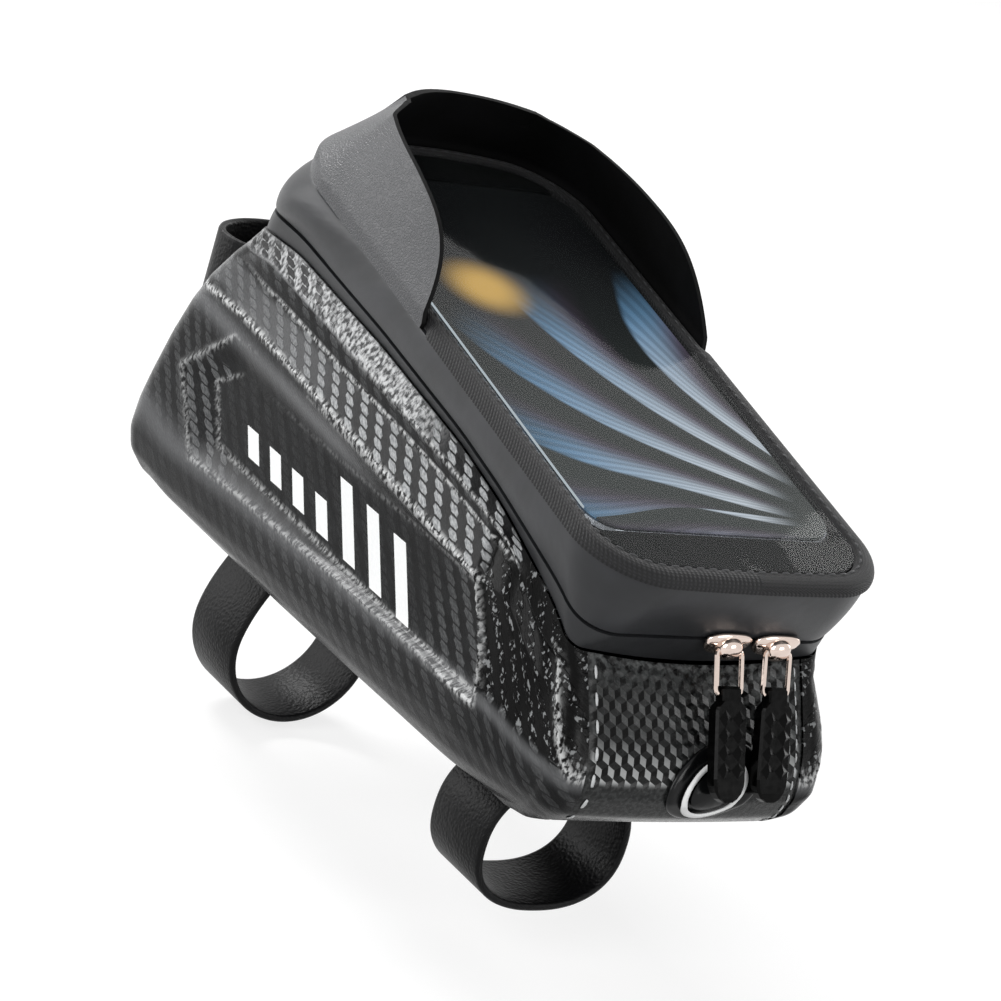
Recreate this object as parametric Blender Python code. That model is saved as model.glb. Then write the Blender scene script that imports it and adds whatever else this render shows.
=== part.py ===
"""Top tube phone bag: a hard moulded bag with a sloping phone lid, a zip round it and a sun visor.

Metres, +Z up. -Y is the rider's end with the zip sliders, +Y the handlebar end, +X the rider's right.
The flat underside, which rests on the top tube, lies in the plane Z = 0.
The lid has its own frame: y runs from its near edge towards the handlebar, z is square to the lid.
"""
import math

import bmesh
import bpy
import numpy as np
from mathutils import Matrix, Vector

for old in list(bpy.data.objects):
    bpy.data.objects.remove(old, do_unlink=True)

MM = 0.001

# The phone decides the size of the lid
PHONE_WIDTH = 79.0 * MM
PHONE_LENGTH = 161.5 * MM
PHONE_THICKNESS = 8.0 * MM
POCKET_CLEARANCE = 0.8 * MM
BINDING_WIDTH = 6.2 * MM
BINDING_HEIGHT = 3.4 * MM
NEAR_MARGIN = 13.3 * MM
FAR_MARGIN = 5.1 * MM

LID_HALF = PHONE_WIDTH / 2 + POCKET_CLEARANCE + BINDING_WIDTH
LID_LENGTH = PHONE_LENGTH + NEAR_MARGIN + FAR_MARGIN + 2 * BINDING_WIDTH
LID_TILT = math.radians(12.5)
LID_NEAR_RADIUS = 20.0 * MM
LID_FAR_RADIUS = 22.0 * MM
LID_NEAR_BOW = 1.9 * MM
LID_FAR_BOW = 8.0 * MM

# The body is drawn for a lid of this size and stretched with it
NEAR_HEIGHT = 75.0 * MM
SX = LID_HALF / (46.5 * MM)
SY = LID_LENGTH / (192.3 * MM)
SZ = NEAR_HEIGHT / (75.0 * MM)
LID_NEAR_Y = -112.0 * MM * SY

# Walls, seams and clearances
GAP = 0.3 * MM
SHELL_WALL = 3.4 * MM
PANEL_WALL = 2.6 * MM
BAND_WALL = 1.6 * MM
BAND_INSET = 0.5 * MM
BAND_SWELL = 2.6 * MM
ZIP_GAP = 1.0 * MM
COIL_SIZE = 1.4 * MM
SEAM_NEAR = 34.0
SEAM_FAR = 29.5
PAD_RISE = 0.6 * MM
PANEL_BULGE = 1.5 * MM
WINDOW_THICKNESS = 0.7 * MM
TRAY_FLOOR = 2.0 * MM
TRAY_WALL = 1.4 * MM
TRAY_CLEARANCE = 0.05 * MM
DISPLAY_THICKNESS = 0.6 * MM
DISPLAY_BORDER = 1.2 * MM
VISOR_WALL = 1.3 * MM
STRAP_WIDTH = 25.0 * MM
STRAP_WALL = 2.2 * MM
KEEPER_WALL = 1.2 * MM
KEEPER_HALF = 8.5 * MM
RECESS_DEPTH = 2.0 * MM

# Zip sliders and pullers at the rider's end
SLIDER_X = (3.5 * MM, 19.0 * MM)
PULLER_LIFTS = (math.radians(1.9), math.radians(-2.1))
SLIDER_HALF_LENGTH = 7.2 * MM
SLIDER_HALF_HEIGHT = 4.0 * MM
SLIDER_PLATE = 1.7 * MM
CROWN_WIDTH = 3.8 * MM
WIRE = 1.4 * MM
BAIL_HALF_WIDTH = 3.9 * MM
BAIL_LENGTH = 11.0 * MM
PULLER_LENGTH = 29.0 * MM
PULLER_HALF_WIDTH = 4.9 * MM
PULLER_BODY = 4.2 * MM
STUD_HEIGHT = 1.1 * MM


def across(v):
    """A drawn width in millimetres at this lid's size."""
    return np.asarray(v) * MM * SX


def along(v):
    """A drawn length in millimetres at this lid's size."""
    return np.asarray(v) * MM * SY


def upward(v):
    """A drawn height in millimetres at this bag's height."""
    return np.asarray(v) * MM * SZ


def srgb(code):
    """A '#rrggbb' colour as linear RGBA."""
    out = []
    for k in (1, 3, 5):
        v = int(code[k:k + 2], 16) / 255.0
        out.append(v / 12.92 if v <= 0.04045 else ((v + 0.055) / 1.055) ** 2.4)
    return (*out, 1.0)


def material(name, code, roughness, metallic=0.0, transmission=0.0):
    mat = bpy.data.materials.new(name)
    mat.use_nodes = True
    shader = mat.node_tree.nodes["Principled BSDF"]
    shader.inputs["Base Color"].default_value = srgb(code)
    shader.inputs["Roughness"].default_value = roughness
    shader.inputs["Metallic"].default_value = metallic
    shader.inputs["Transmission Weight"].default_value = transmission
    return mat


def collection(name):
    col = bpy.data.collections.new(name)
    bpy.context.scene.collection.children.link(col)
    return col


BAG = collection("top_tube_phone_bag")
CUTTERS = collection("cutters")

SKIN = material("embossed_carbon_look_skin", "#17181a", 0.3)
SATIN = material("satin_coated_cloth", "#2c2d2f", 0.42)
CUBES = material("embossed_cube_cloth", "#1c1d1e", 0.35)
WEAVE = material("woven_binding", "#121213", 0.75)
NYLON = material("nylon_coil", "#101011", 0.5)
CLEAR = material("clear_soft_window", "#dfe5e8", 0.05, 0.0, 0.95)
LINING = material("black_lining", "#151516", 0.85)
FRAME = material("anodised_phone_frame", "#3a3c40", 0.3, 0.9)
SCREEN = material("phone_screen_glass", "#20262e", 0.06)
GRAIN = material("grained_leather_cloth", "#3a3b3d", 0.45)
PLATED = material("plated_slider", "#8a7f7b", 0.18, 1.0)
RUBBER = material("moulded_rubber", "#161616", 0.5)
WHITE = material("white_rubber_ring", "#f2f2f2", 0.5)
PEBBLED = material("pebbled_strap", "#131313", 0.7)


def unit(v):
    return v / np.maximum(np.linalg.norm(v, axis=-1, keepdims=True), 1e-12)


def lid_to_bag(points):
    """Points of the lid's frame in the bag's frame."""
    c, s = math.cos(LID_TILT), math.sin(LID_TILT)
    x, y, z = points[..., 0], points[..., 1], points[..., 2]
    return np.stack([x, LID_NEAR_Y + y * c - z * s, NEAR_HEIGHT + y * s + z * c], -1)


def make(name, verts, faces, mat, col=None):
    """A triangulated mesh object with its faces turned outwards."""
    mesh = bpy.data.meshes.new(name)
    mesh.from_pydata([tuple(map(float, v)) for v in verts], [], [tuple(map(int, f)) for f in faces])
    bm = bmesh.new()
    bm.from_mesh(mesh)
    bmesh.ops.triangulate(bm, faces=bm.faces[:])
    bmesh.ops.recalc_face_normals(bm, faces=bm.faces[:])
    bm.to_mesh(mesh)
    bm.free()
    mesh.update()
    mesh.materials.append(mat)
    obj = bpy.data.objects.new(name, mesh)
    (col or BAG).objects.link(obj)
    return obj


def sheet_body(name, outer, inner, mat, closed=False):
    """A thick sheet between two grids of points; closed joins its last column to its first."""
    n, m = outer.shape[:2]
    verts = np.concatenate([outer.reshape(-1, 3), inner.reshape(-1, 3)])
    back = n * m
    faces = []
    for i in range(n if closed else n - 1):
        k = (i + 1) % n
        for j in range(m - 1):
            a, b, c, d = i * m + j, k * m + j, k * m + j + 1, i * m + j + 1
            faces.append((a, b, c, d))
            faces.append((back + a, back + d, back + c, back + b))
        for j in (0, m - 1):
            faces.append((i * m + j, k * m + j, back + k * m + j, back + i * m + j))
    if not closed:
        for i in (0, n - 1):
            for j in range(m - 1):
                a = i * m + j
                faces.append((a, a + 1, back + a + 1, back + a))
    return make(name, verts, faces, mat)


def loft_body(name, rings, mat, closed=False, col=None):
    """A body through closed cross-sections; its ends are filled unless the path closes."""
    n, m = rings.shape[:2]
    faces = []
    for i in range(n if closed else n - 1):
        k = (i + 1) % n
        for j in range(m):
            nxt = (j + 1) % m
            faces.append((i * m + j, k * m + j, k * m + nxt, i * m + nxt))
    if not closed:
        faces.append(tuple(range(m)))
        faces.append(tuple((n - 1) * m + j for j in range(m)))
    return make(name, rings.reshape(-1, 3), faces, mat, col)


def on_axis(obj, pivot):
    """Puts a piece's origin on the axis it moves about."""
    obj.data.transform(Matrix.Translation(-Vector(pivot)))
    obj.location = Vector(pivot)
    return obj


# Half outlines run from the middle of the rider's end, round the left side, to the middle of the far end
NEAR_XS = (0.0, 9.0, 18.0, 27.0, SEAM_NEAR)
FAR_XS = (SEAM_FAR, 20.0, 10.0, 0.0)
CORNER_STEPS = 5
SIDE_COLUMNS = 15
SIDE_FIRST = len(NEAR_XS) + CORNER_STEPS + 1
TAPER = 34.0
NEAR_FULL = 35.0


def width_at(y, low, high, halves):
    """Half width of a level at y: it widens from the rider's corner and changes again near the far one."""
    near, side, far = halves
    x = near + (side - near) * np.sin(np.clip((y - low) / along(TAPER), 0, 1) * math.pi / 2)
    return x + (far - side) * np.clip((y - low) / (high - low) - 0.6, 0, 1) / 0.4


def half_outline(halves, ends, radii, bows=(0.0, 0.0), side_ys=None):
    """Plan points of one level: a rounded rectangle with tapered sides and bowed ends."""
    low, high = ends[0] + radii[0], ends[1] - radii[1]
    flat = min(1.0, (halves[0] - radii[0]) / across(NEAR_XS[-1]))
    near = np.array([(across(x) * flat, ends[0]) for x in NEAR_XS])
    turn = np.linspace(0.12, math.pi / 2, CORNER_STEPS + 1)
    corner = np.c_[halves[0] - radii[0] + radii[0] * np.sin(turn), low - radii[0] * np.cos(turn)]
    ys = np.linspace(low, high, SIDE_COLUMNS + 2)[1:-1] if side_ys is None else side_ys
    side = np.c_[width_at(ys, low, high, halves), ys]
    turn = np.linspace(math.pi / 2, 0.12, CORNER_STEPS + 1)
    far_corner = np.c_[halves[2] - radii[1] + radii[1] * np.sin(turn), high + radii[1] * np.cos(turn)]
    flat = min(1.0, (halves[2] - radii[1]) / across(FAR_XS[0]))
    far = np.array([(across(x) * flat, ends[1]) for x in FAR_XS])
    pts = np.concatenate([near, corner, side, far_corner, far])
    pts[:SIDE_FIRST, 1] -= bows[0] * (1 - (pts[:SIDE_FIRST, 0] / halves[0]) ** 2)
    last = SIDE_FIRST + SIDE_COLUMNS
    pts[last:, 1] += bows[1] * (1 - (pts[last:, 0] / halves[2]) ** 2)
    pts[:, 0] *= -1
    return pts


def whole_ring(half):
    """The closed ring made of a left half and its mirror image."""
    return np.concatenate([half, (half * np.array([-1.0, 1.0, 1.0]))[-2:0:-1]])


def lid_half(inset, z):
    """The lid's outline drawn in by inset, at a height over the lid's plane, in the lid's frame."""
    half = LID_HALF - inset
    plan = half_outline((half, half, half), (inset, LID_LENGTH - inset),
                        (LID_NEAR_RADIUS - inset, LID_FAR_RADIUS - inset), (LID_NEAR_BOW, LID_FAR_BOW))
    return np.c_[plan, np.full(len(plan), z)]


def lid_ring(inset, z):
    return whole_ring(lid_half(inset, z))


# Depth of the shell's top edge below the lid's plane: least where the zip passes just under the phone tray, and
# more at these stations along the lid
RIM_STATIONS = (8.0, 17.6, 28.4, 41.0, 53.0, 77.0, 101.0, 124.0, 148.0, 173.0, 195.0, 202.0)
RIM_EXTRAS = (12.0, 7.3, 4.6, 2.3, 0.8, 0.0, 1.2, 2.3, 4.6, 6.8, 12.0, 16.0)
RIM_DIP = 3.6
ZIP_SHARE = 0.73
TRAY_DEPTH = PHONE_THICKNESS + DISPLAY_THICKNESS + 3 * GAP + TRAY_FLOOR - BINDING_HEIGHT + 0.9 * MM
RIM_LEAST = (TRAY_DEPTH + COIL_SIZE + ZIP_GAP / 2 + TRAY_CLEARANCE) / ZIP_SHARE
RIM_COLUMNS = (36.0, 170.0, 179.0)
STEP_WIDTH = 3.0
PLATE_COLUMNS = 9


def side_positions(step, inner, outer, low, high):
    """Y of the side columns of a level, with columns on the near step and both edges of the far shield."""
    first = np.linspace(low, along(step), 4)[1:]
    plate = np.linspace(along(step + STEP_WIDTH), along(inner), PLATE_COLUMNS)
    last = along(outer) + (high - along(outer)) * np.array([0.0, 0.35, 0.7])
    return np.concatenate([first, plate, last])


def rim_half(rise=0.0, inset=0.0, share=1.0):
    """The shell's top edge in the lid's frame, or with share below 1 a line between it and the lid."""
    up = 1.0 - share
    halves = [across(v + w * up) - inset for v, w in ((40.5, 4.0), (42.0, 6.0), (42.0, 6.0))]
    ends = (along(8.4 - 11.0 * up) + inset, along(201.5 - 12.0 * up) - inset)
    radii = (max(across(5.0 + 26.0 * up) - inset, 2.5 * MM), 12.5 * MM - inset)
    ys = None
    if share == 1.0:
        level = along(RIM_COLUMNS)
        first = np.linspace(ends[0] + radii[0], level[0], 4)[1:]
        plate = np.linspace(level[0] + along(STEP_WIDTH), level[1], PLATE_COLUMNS)
        last = level[2] + (ends[1] - radii[1] - level[2]) * np.array([0.0, 0.35, 0.7])
        ys = np.concatenate([first, plate, last])
    plan = half_outline(halves, ends, radii, (0.0, 3.5 * MM), ys)
    depth = RIM_LEAST + np.interp(plan[:, 1], along(RIM_STATIONS), upward(RIM_EXTRAS))
    near = plan[:, 1] < along(20.0)
    dip = np.where(near, upward(RIM_DIP) * (1 - np.clip(np.abs(plan[:, 0]) / halves[0], 0, 1) ** 2), 0.0)
    return np.c_[plan, rise - (depth + dip * max(0.0, 1 - up * 3.7)) * share]


def track(*pairs):
    """A line of the moulding along the side, as drawn (Y, Z) pairs."""
    pts = np.array(sorted(pairs), float)
    return along(pts[:, 0]), upward(pts[:, 1])


# Each row of the side moulding: its line along the side, half widths at the rider's corner, the side and the
# far corner, where it meets the rider's end and the far end (Y, Z), the near step, and the shield's two edges
SHELL_ROWS = (
    (track((-74, 64), (-63, 67), (-41, 71), (-19, 74.5), (3, 77.5), (27, 80.5), (51, 83), (74, 85.5)),
     (41.0, 45.0, 43.5), (-99.6, 47.4), (95.0, 83.2), -73.5, (66, 78)),
    (track((-74, 61.5), (-55, 65), (-33, 68.4), (-11, 70.8), (24, 73.6), (60, 77.5), (88, 79.5)),
     (41.3, 44.4, 44.5), (-101.8, 43.8), (98.0, 79.5), -73.5, (66, 78)),
    (track((-64, 54), (-44, 56), (-10, 60), (25, 63.8), (49, 66), (74, 68), (96, 69)),
     (41.8, 48.0, 46.0), (-105.2, 38.0), (105.0, 69.5), -64.0, (64, 74)),
    (track((-66, 46), (-40, 48), (0, 51), (40, 53), (67, 54), (90, 55)),
     (42.2, 47.7, 46.8), (-108.0, 33.2), (110.0, 60.0), -66.5, (67, 84)),
    (track((-69, 38), (-30, 38.5), (0, 39.5), (40, 41), (80, 44), (97, 44)),
     (42.5, 47.9, 47.2), (-110.2, 28.6), (115.0, 48.0), -69.5, (80, 97)),
    (track((-73, 31), (-40, 29.5), (0, 29.5), (44, 30.5), (70, 31.5), (90, 32)),
     (42.7, 48.1, 47.6), (-111.6, 24.2), (119.5, 34.0), -73.0, (70, 86)),
    (track((-75, 27.5), (-42, 26.3), (-9, 26.2), (15, 25.6), (50, 24.6), (79, 23), (110, 24)),
     (42.8, 48.5, 47.9), (-112.2, 20.6), (121.8, 25.0), -75.0, (67, 79)),
    (track((-104, 25), (-68, 24.2), (-43, 22.8), (-17, 21), (10, 20), (39, 18.8), (68, 17.2), (111, 15.6)),
     (42.8, 49.0, 48.0), (-112.3, 17.0), (122.6, 16.0), -76.0, (66, 79)),
)
# Rows of the rounded lower edge: share of the ridge's height, half widths, near end, far end
LOW_ROWS = ((0.64, (41.6, 47.9, 47.0), -109.6, 121.4), (0.36, (39.4, 45.4, 44.2), -103.4, 118.2),
            (0.14, (36.8, 41.0, 38.8), -95.0, 113.5))
BOTTOM_ENDS = (-85.0, 105.0)
# The part of the underside that rests on the tube, between the two straps, stands a little proud
PAD_ENDS = (-27.0, 47.0)
SUNK_ROWS = {3: 0.8, 4: 1.0, 5: 0.85}
NEAR_RISE = 2.2
FAR_RISE = 1.0
SHELL_FIRST = len(NEAR_XS) - 1
SHELL_COUNT = 1 + 2 * (CORNER_STEPS + 1) + SIDE_COLUMNS + 1


def shell_row(row, level, halves, near, far, step, shield):
    """One row of the left shell from the near seam round to the far seam."""
    halves = across(halves)
    ends = along((near[0], far[0]))
    radii = (min(6.5 * MM, halves[0] - across(SEAM_NEAR + 0.5)), min(12.5 * MM, halves[2] - across(SEAM_FAR + 0.5)))
    low, high = ends[0] + radii[0], ends[1] - radii[1]
    ys = side_positions(step, shield[0], shield[1], low, high)
    plan = half_outline(halves, ends, radii, (0.0, 3.0 * MM), ys)
    plan = plan[SHELL_FIRST:SHELL_FIRST + SHELL_COUNT]
    start, stop = upward(near[1]), upward(far[1])
    y = plan[:, 1]
    z = np.interp(y, level[0], level[1])
    near_share = np.clip((y - low) / along(24.0), 0, 1)
    z = z * near_share + (start + upward(NEAR_RISE)) * (1 - near_share)
    far_share = np.clip((high - y) / along(14.0), 0, 1)
    z = z * far_share + (stop + upward(FAR_RISE)) * (1 - far_share)
    ramp = np.arange(CORNER_STEPS + 2) / (CORNER_STEPS + 1.0)
    z[:CORNER_STEPS + 2] = start + upward(NEAR_RISE) * ramp
    z[-CORNER_STEPS - 2:] = stop + upward(FAR_RISE) * ramp[::-1]
    sides = CORNER_STEPS + 2
    plan[sides + 3:sides + 3 + PLATE_COLUMNS, 0] += SUNK_ROWS.get(row, 0.0) * RECESS_DEPTH
    if 0 <= row <= 6:
        plan[sides:sides + 3, 0] += np.array([0.35, 0.7, 1.0]) * 1.2 * MM
    return np.c_[plan, z]


def shell_grid():
    """Outer points of the left shell, columns by rows, from the top edge down to the bottom seam."""
    rows = [lid_to_bag(rim_half())[SHELL_FIRST:SHELL_FIRST + SHELL_COUNT]]
    for k, (level, halves, near, far, step, shield) in enumerate(SHELL_ROWS):
        rows.append(shell_row(k, level, halves, near, far, step, shield))
    ridge = SHELL_ROWS[-1]
    for share, halves, near, far in LOW_ROWS:
        level = (ridge[0][0], ridge[0][1] * share)
        rows.append(shell_row(9, level, halves, (near, ridge[2][1] * share), (far, ridge[3][1] * share),
                              ridge[4], ridge[5]))
    share = np.linspace(0.0, 1.0, SHELL_COUNT)
    marks = along((BOTTOM_ENDS[0], BOTTOM_ENDS[0] + 9, BOTTOM_ENDS[1] - 9, BOTTOM_ENDS[1]))
    ys = np.interp(share, (0.0, 0.22, 0.78, 1.0), marks)
    xs = np.interp(ys, along((80.0, BOTTOM_ENDS[1])), across((SEAM_NEAR, SEAM_FAR)))
    on_pad = (ys > along(PAD_ENDS[0])) & (ys < along(PAD_ENDS[1]))
    rows.append(np.stack([-xs, ys, np.where(on_pad, 0.0, PAD_RISE)], -1))
    grid = np.stack(rows, 1)
    grid[0, :, 0] = -across(SEAM_NEAR)
    grid[-1, :, 0] = -across(SEAM_FAR)
    return grid


def grid_normals(grid):
    """Unit normals of a grid of points, from the differences of their neighbours."""
    du = np.gradient(grid, axis=0)
    dv = np.gradient(grid, axis=1)
    return unit(np.cross(du, dv))


def smooth_columns(grid):
    """The grid with its relief averaged out, for the plain inner face."""
    out = grid.copy()
    for _ in range(2):
        out[1:-1] = (out[:-2] + 2 * out[1:-1] + out[2:]) / 4
    return out


def seam_path(grid):
    """The seam between shell and middle panel: down the near end, along the bottom, up the far end."""
    return np.concatenate([grid[0], grid[1:-1, -1], grid[-1, ::-1]])


def build_shells():
    grid = shell_grid()
    path = seam_path(grid)
    normal = grid_normals(smooth_columns(grid))
    if (normal[:, 5, 0].mean()) > 0:
        normal = -normal
    inner = smooth_columns(grid) - normal * SHELL_WALL
    inner[0] = grid[0] - unit(normal[0] * np.array([0.0, 1.0, 1.0])) * SHELL_WALL
    inner[-1] = grid[-1] - unit(normal[-1] * np.array([0.0, 1.0, 1.0])) * SHELL_WALL
    inner[1:-1, -1] = grid[1:-1, -1] + np.array([0.0, 0.0, SHELL_WALL])
    inner[0, -1] = grid[0, -1] + np.array([0.0, 0.25, 0.95]) * SHELL_WALL
    inner[-1, -1] = grid[-1, -1] + np.array([0.0, -0.25, 0.95]) * SHELL_WALL
    seam = np.array([-GAP / 2, 0.0, 0.0])
    for points in (grid, inner):
        points[0] += seam
        points[-1] += seam
        points[1:-1, -1] += seam
    flip = np.array([-1.0, 1.0, 1.0])
    sheet_body("shell_left", grid, inner, SKIN)
    sheet_body("shell_right", grid * flip, inner * flip, SKIN)
    return path


def panel_lift(t, seam_z, top):
    """How far the middle panel bulges at a share t of its half width, and how far its top edge dips there."""
    lift = 1 - t * t
    low = np.clip(seam_z / upward(10.0), 0, 1)
    rise = np.clip((seam_z - upward(17.0)) / (top - upward(17.0)), 0, 1)
    return PANEL_BULGE * lift * low * (1 - rise ** 3), upward(RIM_DIP) * 0.92 * lift * rise


def near_surface(x, z):
    """Y of the outer face of the middle panel at the rider's end, at one x and height."""
    ends = sorted([(row[2][1], row[2][0]) for row in SHELL_ROWS] + [(0.0, BOTTOM_ENDS[0])]
                  + [(SHELL_ROWS[-1][2][1] * low[0], low[2]) for low in LOW_ROWS] + [FACE_HEAD[::-1]])
    zs, ys = upward(np.array(ends)[:, 0]), along(np.array(ends)[:, 1])
    bulge, dip = panel_lift(x / across(SEAM_NEAR), zs, zs[-1])
    return np.interp(z, zs - dip, ys - bulge)


def build_panel(path):
    """The one strip that closes the bag between the two shells."""
    ts = np.linspace(-1.0, 1.0, 9)
    d = np.gradient(path[:, 1:], axis=0)
    normal = unit(np.stack([-d[:, 1], d[:, 0]], -1))
    centre = path[:, 1:].mean(0)
    if ((path[:, 1:] - centre) * normal).sum() < 0:
        normal = -normal
    count = len(SHELL_ROWS) + len(LOW_ROWS) + 2
    outer = np.zeros((len(path), len(ts), 3))
    inner = outer.copy()
    for j, t in enumerate(ts):
        x = (np.abs(path[:, 0]) - GAP / 2) * t
        y, z = path[:, 1].copy(), path[:, 2].copy()
        bulge, dip = panel_lift(t, z[:count], z[0])
        y[:count] -= bulge
        z[:count] -= dip
        far = np.zeros(len(path))
        far[-count:] = np.clip(path[-count:, 2] / upward(10.0), 0, 1)
        y += 1.2 * MM * (1 - t * t) * far
        outer[:, j] = np.stack([x, y, z], -1)
        inner[:, j] = outer[:, j] - np.c_[np.zeros(len(path)), normal] * PANEL_WALL
    sheet_body("centre_panel", outer, inner, CUBES)


def drawn_in(ring, distance):
    """A closed ring of points moved inwards in plan, square to its own line."""
    d = unit(np.roll(ring, -1, 0) - np.roll(ring, 1, 0))
    side = unit(np.stack([-d[:, 1], d[:, 0], np.zeros(len(ring))], -1))
    sign = np.sign(((ring.mean(0) - ring) * side).sum(-1).sum())
    return ring + side * sign * distance


def band(name, low, high, rows, mat, swell=0.0):
    """A cloth band between two rings, in the lid's frame; it can swell between them, most at the far corners."""
    ts = np.linspace(0.0, 1.0, rows)
    outer = np.stack([low * (1 - t) + high * t for t in ts], 1)
    share = 0.3 + 0.7 * np.clip((low[:, 1] - along(150.0)) / along(30.0), 0, 1)
    for j, t in enumerate(ts):
        pushed = drawn_in(outer[:, j], -swell * math.sin(math.pi * t))
        outer[:, j] += (pushed - outer[:, j]) * share[:, None]
    inner = np.stack([drawn_in(outer[:, j], BAND_WALL) for j in range(rows)], 1)
    return sheet_body(name, lid_to_bag(outer), lid_to_bag(inner), mat, closed=True)


def coil(name, ring, below, mat):
    """Half of the zip's coil: a bead inside the band, open at the far end where the lid is hinged."""
    hinge_part = len(FAR_XS) + 2
    middle = drawn_in(ring, BAND_WALL + GAP + 0.7 * MM + COIL_SIZE / 2)
    edge = np.zeros(3)
    edge[2] = -1.0 if below else 1.0
    half = len(ring) // 2
    order = np.r_[np.arange(half + hinge_part, len(ring)), np.arange(0, half - hinge_part + 1)]
    path = middle[order] + edge * (ZIP_GAP / 2 + COIL_SIZE / 2)
    d = unit(np.gradient(path, axis=0))
    side = unit(np.cross(d, np.array([0.0, 0.0, 1.0])))
    r = COIL_SIZE / 2
    corners = [side * sx * r + np.array([0.0, 0.0, sz * r]) for sx, sz in ((-1, -1), (1, -1), (1, 1), (-1, 1))]
    rings = np.stack([path + c for c in corners], 1)
    return loft_body(name, lid_to_bag(rings), mat)


def build_bands():
    zip_line = whole_ring(rim_half(0.0, 0.0, ZIP_SHARE))
    top_edge = whole_ring(rim_half(GAP, BAND_INSET))
    down = np.array([0.0, 0.0, -ZIP_GAP / 2])
    band("gusset_lower", top_edge, zip_line + down, 3, SATIN)
    band("gusset_upper", zip_line - down, lid_ring(1.0 * MM, -GAP), 5, SATIN, BAND_SWELL)
    coil("zip_coil_lower", zip_line, True, NYLON)
    coil("zip_coil_upper", zip_line, False, NYLON)
    return zip_line


BINDING_SECTION = ((0.0, 0.0), (0.0, 0.28), (0.08, 0.58), (0.25, 0.86), (0.48, 1.0), (0.75, 0.98), (0.94, 0.8),
                   (1.0, 0.5), (1.0, 0.0))
WINDOW_BASE = BINDING_HEIGHT - 0.9 * MM
DISPLAY_TOP = WINDOW_BASE - GAP
PHONE_TOP = DISPLAY_TOP - DISPLAY_THICKNESS - GAP
PHONE_BOTTOM = PHONE_TOP - PHONE_THICKNESS
TRAY_TOP = PHONE_BOTTOM - GAP
PHONE_NEAR = BINDING_WIDTH + NEAR_MARGIN
PHONE_RADIUS = 10.0 * MM


def plate_body(name, outline, low, high, mat):
    """A flat plate with any outline, in the lid's frame."""
    rings = np.stack([np.c_[outline, np.full(len(outline), z)] for z in (low, high)])
    return loft_body(name, lid_to_bag(rings), mat)


def phone_outline(inset):
    """The phone's rounded rectangle."""
    half, radius = PHONE_WIDTH / 2 - inset, PHONE_RADIUS - inset
    pts = []
    low, high = PHONE_NEAR + inset, PHONE_NEAR + PHONE_LENGTH - inset
    for cx, cy, start in ((half - radius, low + radius, -90), (half - radius, high - radius, 0),
                          (radius - half, high - radius, 90), (radius - half, low + radius, 180)):
        for a in np.radians(start + np.linspace(0, 90, 6)):
            pts.append((cx + radius * math.cos(a), cy + radius * math.sin(a)))
    return np.array(pts)


def margin_outline(near):
    """A panel between the binding and one end of the phone."""
    ring = lid_ring(BINDING_WIDTH + GAP, 0.0)[:, :2]
    edge = PHONE_NEAR - GAP if near else PHONE_NEAR + PHONE_LENGTH + GAP
    kept = ring[ring[:, 1] < edge - 1 * MM] if near else ring[ring[:, 1] > edge + 1 * MM]
    order = np.argsort(np.arctan2(kept[:, 1] - edge, kept[:, 0]))
    kept = kept[order]
    reach = np.abs(ring[:, 0]).max() - 0.2 * MM
    if not near:
        reach = np.abs(kept[:, 0]).max() + 0.2 * MM
    ends = np.array([(reach, edge), (-reach, edge)])
    if near:
        return np.concatenate([kept, ends])
    return np.concatenate([kept, ends[::-1]])


def build_lid():
    edge, rim = lid_ring(0.0, 0.0), lid_ring(BINDING_WIDTH, 0.0)
    room = (VISOR_WALL + 2 * GAP) / BINDING_WIDTH * np.clip((edge[:, 1] - along(VISOR_START) + 4 * MM) / (3 * MM), 0, 1)
    sections = []
    for u, v in BINDING_SECTION:
        share = (room + (1 - room) * u)[:, None]
        sections.append(edge * (1 - share) + rim * share + np.array([0.0, 0.0, BINDING_HEIGHT * v]))
    loft_body("lid_binding", lid_to_bag(np.stack(sections, 1)), WEAVE, closed=True)
    window = lid_ring(BINDING_WIDTH + GAP, 0.0)[:, :2]
    plate_body("lid_window", window, WINDOW_BASE, WINDOW_BASE + WINDOW_THICKNESS, CLEAR)
    plate_body("margin_near", margin_outline(True), DISPLAY_TOP - 1.1 * MM, DISPLAY_TOP, SATIN)
    plate_body("margin_far", margin_outline(False), DISPLAY_TOP - 1.1 * MM, DISPLAY_TOP, SATIN)
    slabs = ((0.9, PHONE_BOTTOM), (0.0, PHONE_BOTTOM + 1.2 * MM), (0.0, PHONE_TOP - 1.0 * MM), (0.8, PHONE_TOP))
    rings = np.stack([np.c_[phone_outline(i * MM), np.full(24, z)] for i, z in slabs])
    loft_body("phone", lid_to_bag(rings), FRAME)
    plate_body("phone_display", phone_outline(DISPLAY_BORDER), DISPLAY_TOP - DISPLAY_THICKNESS, DISPLAY_TOP, SCREEN)
    tray = [lid_ring(5.2 * MM, TRAY_TOP - TRAY_FLOOR), lid_ring(3.2 * MM, -GAP),
            lid_ring(3.2 * MM + TRAY_WALL, -GAP), lid_ring(5.2 * MM + TRAY_WALL, TRAY_TOP)]
    for ring, near in ((tray[0], 9.0 * MM), (tray[3], 9.0 * MM + TRAY_WALL)):
        ring[:, 1] = np.maximum(ring[:, 1], near)
    loft_body("phone_tray", lid_to_bag(np.stack(tray)), LINING)


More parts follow.
